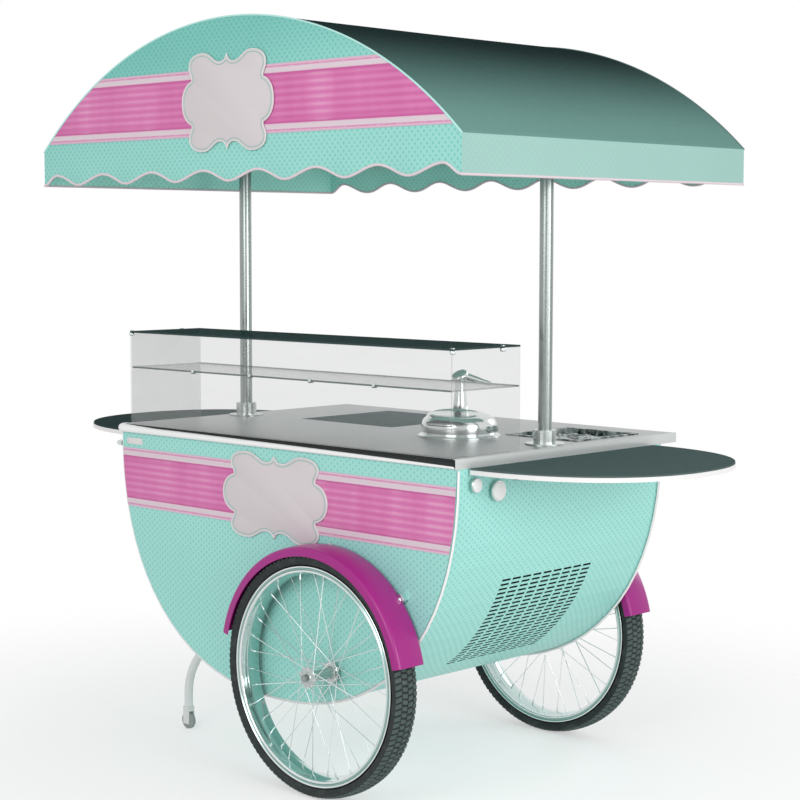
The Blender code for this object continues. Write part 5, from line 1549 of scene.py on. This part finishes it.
class CART_OT_case(bpy.types.Operator):
    """Clamps, shelf clips and ground edges of the glass case"""

    bl_idname = "cart.case"
    bl_label = "Display case"

    def execute(self, context):
        chrome = bright_chrome("clamp chrome", tone(200, 208, 206), 0.14)
        edge = pane("glass edge", tone(96, 120, 116), 0.72)
        low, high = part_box("glass_front")
        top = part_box("glass_top")[1].z
        shelf_low, shelf_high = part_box("glass_shelf")
        under = ((0.0050, -0.0150), (0.0072, -0.0140), (0.0078, -0.0110), (0.0078, -0.0070),
                 (0.0066, -0.0052))
        over = ((0.0064, -0.0003), (0.0064, 0.0010), (0.0052, 0.0020), (0.0020, 0.0024))
        clamps = [lathe_form(part, (x, y, top), (0, 0, 1), 20) for x in (low.x, high.x)
                  for y in (low.y + 0.006, CLAMP_Y) for part in (under, over)]
        clips = [block_form((x - CLIP_HALF, low.y - 0.0035, shelf_low.z - 0.0030),
                            (x + CLIP_HALF, low.y + y, z), CLIP_BEVEL)
                 for x in CLIP_PLACES
                 for y, z in ((0.0085, shelf_low.z + 0.0002), (-0.0005, shelf_high.z + 0.0035))]
        new_piece("case_clamps", merged(clamps), chrome)
        new_piece("case_clips", merged(clips), chrome)
        rims = [[(x, y, shelf_high.z - 0.0025) for x in (shelf_low.x, shelf_high.x)]
                for y in (shelf_low.y + 0.001, shelf_high.y)]
        new_piece("case_shelf_edges", bead(rims, 0.0023, 8, edge), edge)
        return {"FINISHED"}


class CART_OT_worktop(bpy.types.Operator):
    """The worktop's dark shadow seal, white bullnose, folded end and the well's lining"""

    bl_idname = "cart.worktop"
    bl_label = "Worktop"

    def execute(self, context):
        low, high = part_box("worktop")
        base_low, base_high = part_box("worktop_base")
        self.seal(low, high, base_low)
        self.bullnose(base_low, base_high)
        steel = enamel("folded steel", tone(200, 204, 203), 0.34, 0.08, 0.12, metallic=0.25)
        fold = block_form((base_high.x + 0.0001, base_low.y, base_low.z - 0.0015),
                          (base_high.x + 0.0014, base_high.y, high.z - 0.0004), 0.0005)
        lip = block_form((high.x - 0.0030, base_low.y + 0.001, high.z - 0.0016),
                         (base_high.x + 0.0014, base_high.y, high.z + 0.0006), 0.0005)
        new_piece("worktop_fold", merged([fold, lip]), steel)
        self.lining()
        return {"FINISHED"}

    def seal(self, low, high, base_low):
        """A dark seal below the steel's near edge, widened into a wedge deeper to the right: partly
        the seal and partly painted shadow under the edge.
        """
        # Painted shadow: the dark wedge stands for the shade under the steel's near edge as well as
        # its seal.
        seal = tyre_rubber("edge seal", tone(18, 24, 24), 0.0)
        back, front, top = low.y - 0.0003, base_low.y - 0.0012, high.z - 0.0018
        first, last = low.x + 0.003, -base_low.x - 0.0005
        rings = []
        for i in range(SEAL_STEPS + 1):
            share = i / SEAL_STEPS
            x = first + (last - first) * share
            deep = SEAL_DEPTH + SEAL_GAIN * share ** 1.6
            brow = min(high.z - 0.0075, top - deep * 0.45)
            rings.append([(x, back, top), (x, low.y - 0.0070, high.z - 0.0030), (x, front, brow),
                          (x, front, top - deep), (x, back, top - deep)])
        new_piece("worktop_seal", rings_form(rings), seal)

    def bullnose(self, low, high):
        """A polished white edge, thick and rounded at the left and slimmer to the right."""
        white = enamel("polished edge", tone(242, 242, 242), 0.16, 0.02, 0.04)
        corner, thick = NOSE_CORNER, NOSE_THICK
        left = low.x - NOSE_PROUD
        first = left + corner
        bar = [(left, low.y + corner + 0.012, thick * 0.8), (left, low.y + corner + 0.010, thick)]
        for i in range(1, 10):
            angle = pi / 2 * i / 9
            bar.append((left + corner * (1 - cos(angle)),
                        low.y + corner * (1 - sin(angle)) - 0.001, thick))
        for i in range(1, 61):
            share = i / 60
            radius = NOSE_SLIM + 0.0062 * (1 - share ** 1.7) + 0.0025 * max(1 - share * 9, 0)
            bar.append((first + (high.x - 0.003 - first) * share,
                        low.y - 0.001 + 0.0022 * share, radius))
        form = swept_form([(x, y, low.z + radius + 0.0003) for x, y, radius in bar],
                          [radius for _, _, radius in bar], 16)
        new_piece("worktop_bullnose", form, white, smooth=radians(60))

    def lining(self):
        """A crumpled liner in the well."""
        low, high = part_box("well_pan")
        liner = crumpled_foil(tone(226, 230, 229), "crumpled liner")
        steps, margin = LINER_STEPS, LINER_MARGIN
        rows = []
        for j in range(steps + 1):
            row = []
            for i in range(steps + 1):
                x = low.x + margin + (high.x - low.x - 2 * margin) * i / steps
                y = low.y + margin + (high.y - low.y - 2 * margin) * j / steps
                edge = min(i, j, steps - i, steps - j) / 6
                lump = noise.noise(Vector((x * 26, y * 26, 2.0)))
                lump += 0.6 * abs(noise.noise(Vector((x * 60, y * 60, 5.0))))
                row.append((x, y, high.z - margin + LINER_LUMP * lump * min(edge, 1)))
            rows.append(row)
        new_piece("well_liner", faced_sheet(rows, Vector((0, 0, 1)), 0.001), liner,
                  smooth=radians(25))


class CART_OT_basin(bpy.types.Operator):
    """The round basin's turned body, tilted dish, knobs and tap"""

    bl_idname = "cart.basin"
    bl_label = "Basin and tap"

    left = Vector((-0.722, -0.692, 0))
    front = Vector((0.692, -0.722, 0))

    def execute(self, context):
        low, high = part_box("basin")
        middle = Vector(((low.x + high.x) / 2, (low.y + high.y) / 2, low.z))
        chrome = bright_chrome("basin chrome", tone(226, 231, 230), 0.10)
        # Painted shade: a thin dark band on the body's front stands in for the shade inside a
        # groove.
        dark = tyre_rubber("slot shade", tone(52, 62, 62), 0.0)
        # Painted reflection: the dish, and the tap's lens with it, are coloured mint for the canopy
        # mirrored in the chrome.
        dish = enamel("dish painted reflection", tone(108, 166, 156), 0.40, 0.08, 0.05, shine=0.05)
        body, bowl = self.body(middle)
        made = new_piece("basin_body", body, chrome, smooth=radians(40))
        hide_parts("basin")
        new_piece("basin_dish", bowl, dish, smooth=radians(60))
        new_piece("basin_slot", self.slot(middle), dark)
        knob = bright_chrome("knob chrome", tone(136, 156, 152), 0.22)
        new_piece("basin_knobs", merged(self.knobs(middle)), knob)
        self.tap(chrome, dish)
        return {"FINISHED"}

    def ring(self, middle, across, deep, height, tilt=0.0, aside=0.0, ahead=0.0):
        """An ellipse about the basin's middle, tilted in degrees towards the front."""
        centre = middle + self.left * aside + self.front * ahead + Vector((0, 0, height))
        down = self.front * cos(radians(tilt)) - Vector((0, 0, sin(radians(tilt))))
        return circle(centre, self.left * across, down * deep, 64)

    def body(self, middle):
        """The turned body up to its tilted deck, and the dish in the deck."""
        wall = ((0.1180, 0.0004), (0.1180, 0.0050), (0.1165, 0.0066), (0.1120, 0.0074),
                (0.1065, 0.0078), (0.1040, 0.0084), (0.1052, 0.0130), (0.1072, 0.0190),
                (0.1078, 0.0270), (0.1074, 0.0360), (0.1056, 0.0440), (0.1010, 0.0515),
                (0.0940, 0.0570))
        deck = ((0.0880, 0.0840, 0.0625, 2, 0.004, 0.004),
                (0.0810, 0.0720, 0.0655, 5, 0.008, 0.012),
                (0.0740, 0.0580, 0.0672, 8, 0.012, 0.025),
                (0.0690, 0.0490, 0.0678, 10, 0.014, 0.034),
                (0.0665, 0.0465, 0.0696, 10, 0.014, 0.034),
                (0.0640, 0.0440, 0.0686, 10, 0.014, 0.034))
        dish = ((0.0647, 0.0447, 0.0684), (0.0635, 0.0435, 0.0666), (0.0540, 0.0360, 0.0652),
                (0.0340, 0.0220, 0.0644), (0.0090, 0.0060, 0.0642))
        rings = [self.ring(middle, radius, radius, height) for radius, height in wall]
        rings += [self.ring(middle, *row) for row in deck]
        bowl = [self.ring(middle, *row, 10, 0.014, 0.034) for row in dish]
        return rings_form(rings), rings_form(bowl, cap_first=False)

    def knobs(self, middle):
        section = ((0.0100, 0), (0.0100, 0.0040), (0.0086, 0.0046), (0.0086, 0.0100),
                   (0.0078, 0.0112), (0.0050, 0.0118), (0.0008, 0.0120))
        for turn in (radians(3), radians(20)):
            out = Vector((cos(turn), sin(turn), 0))
            start = middle + out * 0.1050 + Vector((0, 0, 0.0260))
            yield lathe_form(section, start, out, 24)

    def slot(self, middle):
        # Painted shade: the dark band where a groove's shade falls.
        rings = []
        for i in range(17):
            turn = radians(-106 + 48 * i / 16)
            out = Vector((cos(turn), sin(turn), 0))
            rings.append([middle + out * reach + Vector((0, 0, height)) for reach, height in
                          ((0.1050, 0.0362), (0.1081, 0.0362), (0.1079, 0.0390), (0.1050, 0.0390))])
        return rings_form(rings)

    def tap(self, chrome, dish):
        """The tap's column, its leaning head with a lens, and its spout."""
        low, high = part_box("basin_tap")
        foot = Vector(((low.x + high.x) / 2, (low.y + high.y) / 2, low.z)) - self.front * 0.028
        rise = high.z - low.z
        column = ((0.0245, -0.0040), (0.0245, 0.0090), (0.0220, 0.0130), (0.0205, 0.0250),
                  (0.0180, 0.0500), (0.0165, 0.0780), (0.0155, rise - 0.040))
        head = ((0.0110, -0.0120), (0.0190, -0.0090), (0.0245, -0.0030), (0.0262, 0.0040),
                (0.0250, 0.0090), (0.0225, 0.0120), (0.0205, 0.0128), (0.0195, 0.0118))
        lens = ((0.0198, 0.0112), (0.0196, 0.0124), (0.0150, 0.0146), (0.0080, 0.0158),
                (0.0008, 0.0162))
        spout = ((0.1, 0.0125), (0.3, 0.0115), (0.5, 0.0098), (0.7, 0.0080), (0.9, 0.0066),
                 (0.97, 0.0058), (1.0, 0.0040))
        lean = self.left * 0.42 + self.front * 0.30 + Vector((0, 0, 0.86))
        seat = foot + Vector((0, 0, rise - 0.034))
        run = self.left * -0.090 - Vector((0, 0, 0.020))
        route = [seat + run * share + Vector((0, 0, 0.006 * (1 - share))) for share, _ in spout]
        parts = [lathe_form(column, foot, (0, 0, 1), 32), lathe_form(head, seat, lean, 40),
                 swept_form(route, [radius for _, radius in spout])]
        made = new_piece("tap_body", merged(parts), chrome, smooth=radians(40))
        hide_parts("basin_tap")
        # Painted reflection: the lens wears the dish's mint colour.
        new_piece("tap_lens", lathe_form(lens, seat, lean, 32), dish, smooth=radians(60))


class CART_OT_fittings(bpy.types.Operator):
    """The round fittings on the tub's ends"""

    bl_idname = "cart.fittings"
    bl_label = "End fittings"

    def execute(self, context):
        chrome = bright_chrome("fitting chrome", tone(206, 214, 212), 0.14)
        white = enamel("fitting face", tone(232, 233, 232), 0.25, 0.03, 0.05)
        cup = ((0.55, 0), (0.60, 0.30), (0.97, 0.36), (1, 0.44), (1, 0.66), (0.95, 0.76),
               (0.84, 0.78))
        face = ((0.86, 0.70), (0.84, 0.84), (0.66, 0.94), (0.36, 0.99), (0.05, 1))
        for name in ("end_fitting_1", "end_fitting_2"):
            low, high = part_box(name)
            radius, deep = (high.y - low.y) / 2, high.x - low.x
            start = Vector((low.x, (low.y + high.y) / 2, (low.z + high.z) / 2))
            forms = [lathe_form([(radius * out, deep * along) for out, along in part], start,
                                (1, 0, 0)) for part in (cup, face)]
            made = new_piece(name + "_cup", forms[0], chrome)
            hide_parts(name)
            new_piece(name + "_face", forms[1], white)
        spigot = ((0.0090, 0), (0.0090, 0.016), (0.0065, 0.018), (0.0065, 0.024), (0.0055, 0.0255))
        new_piece("left_fitting", lathe_form(spigot, LEFT_FITTING, (-1, 0, 0), 24), chrome)
        return {"FINISHED"}


class CART_PT_panel(bpy.types.Panel):
    """Cart tools in the sidebar"""

    bl_label = "Ice Cream Cart"
    bl_idname = "CART_PT_panel"
    bl_space_type = "VIEW_3D"
    bl_region_type = "UI"
    bl_category = "Cart"

    def draw(self, context):
        for made in STEPS:
            self.layout.operator(made.bl_idname)
        for group in ("cart_sizes", "cart_counts", "cart_colours"):
            holder = getattr(context.scene, group)
            box = self.layout.box()
            for name in holder.__annotations__:
                box.prop(holder, name)


STEPS = (CART_OT_stage, CART_OT_finishes, CART_OT_canopy, CART_OT_plates, CART_OT_tub,
         CART_OT_tyres, CART_OT_wheels, CART_OT_fenders, CART_OT_case, CART_OT_worktop,
         CART_OT_basin, CART_OT_fittings)
GROUPS = (CartColours, CartSizes, CartCounts)


def register():
    for made in GROUPS + STEPS + (CART_PT_panel,):
        bpy.utils.register_class(made)
    bpy.types.Scene.cart_colours = PointerProperty(type=CartColours)
    bpy.types.Scene.cart_sizes = PointerProperty(type=CartSizes)
    bpy.types.Scene.cart_counts = PointerProperty(type=CartCounts)


def unregister():
    for name in ("cart_colours", "cart_sizes", "cart_counts"):
        delattr(bpy.types.Scene, name)
    for made in (GROUPS + STEPS + (CART_PT_panel,))[::-1]:
        bpy.utils.unregister_class(made)


def main():
    register()
    for made in STEPS:
        group, name = made.bl_idname.split(".")
        getattr(getattr(bpy.ops, group), name)()


if __name__ == "__main__":
    main()
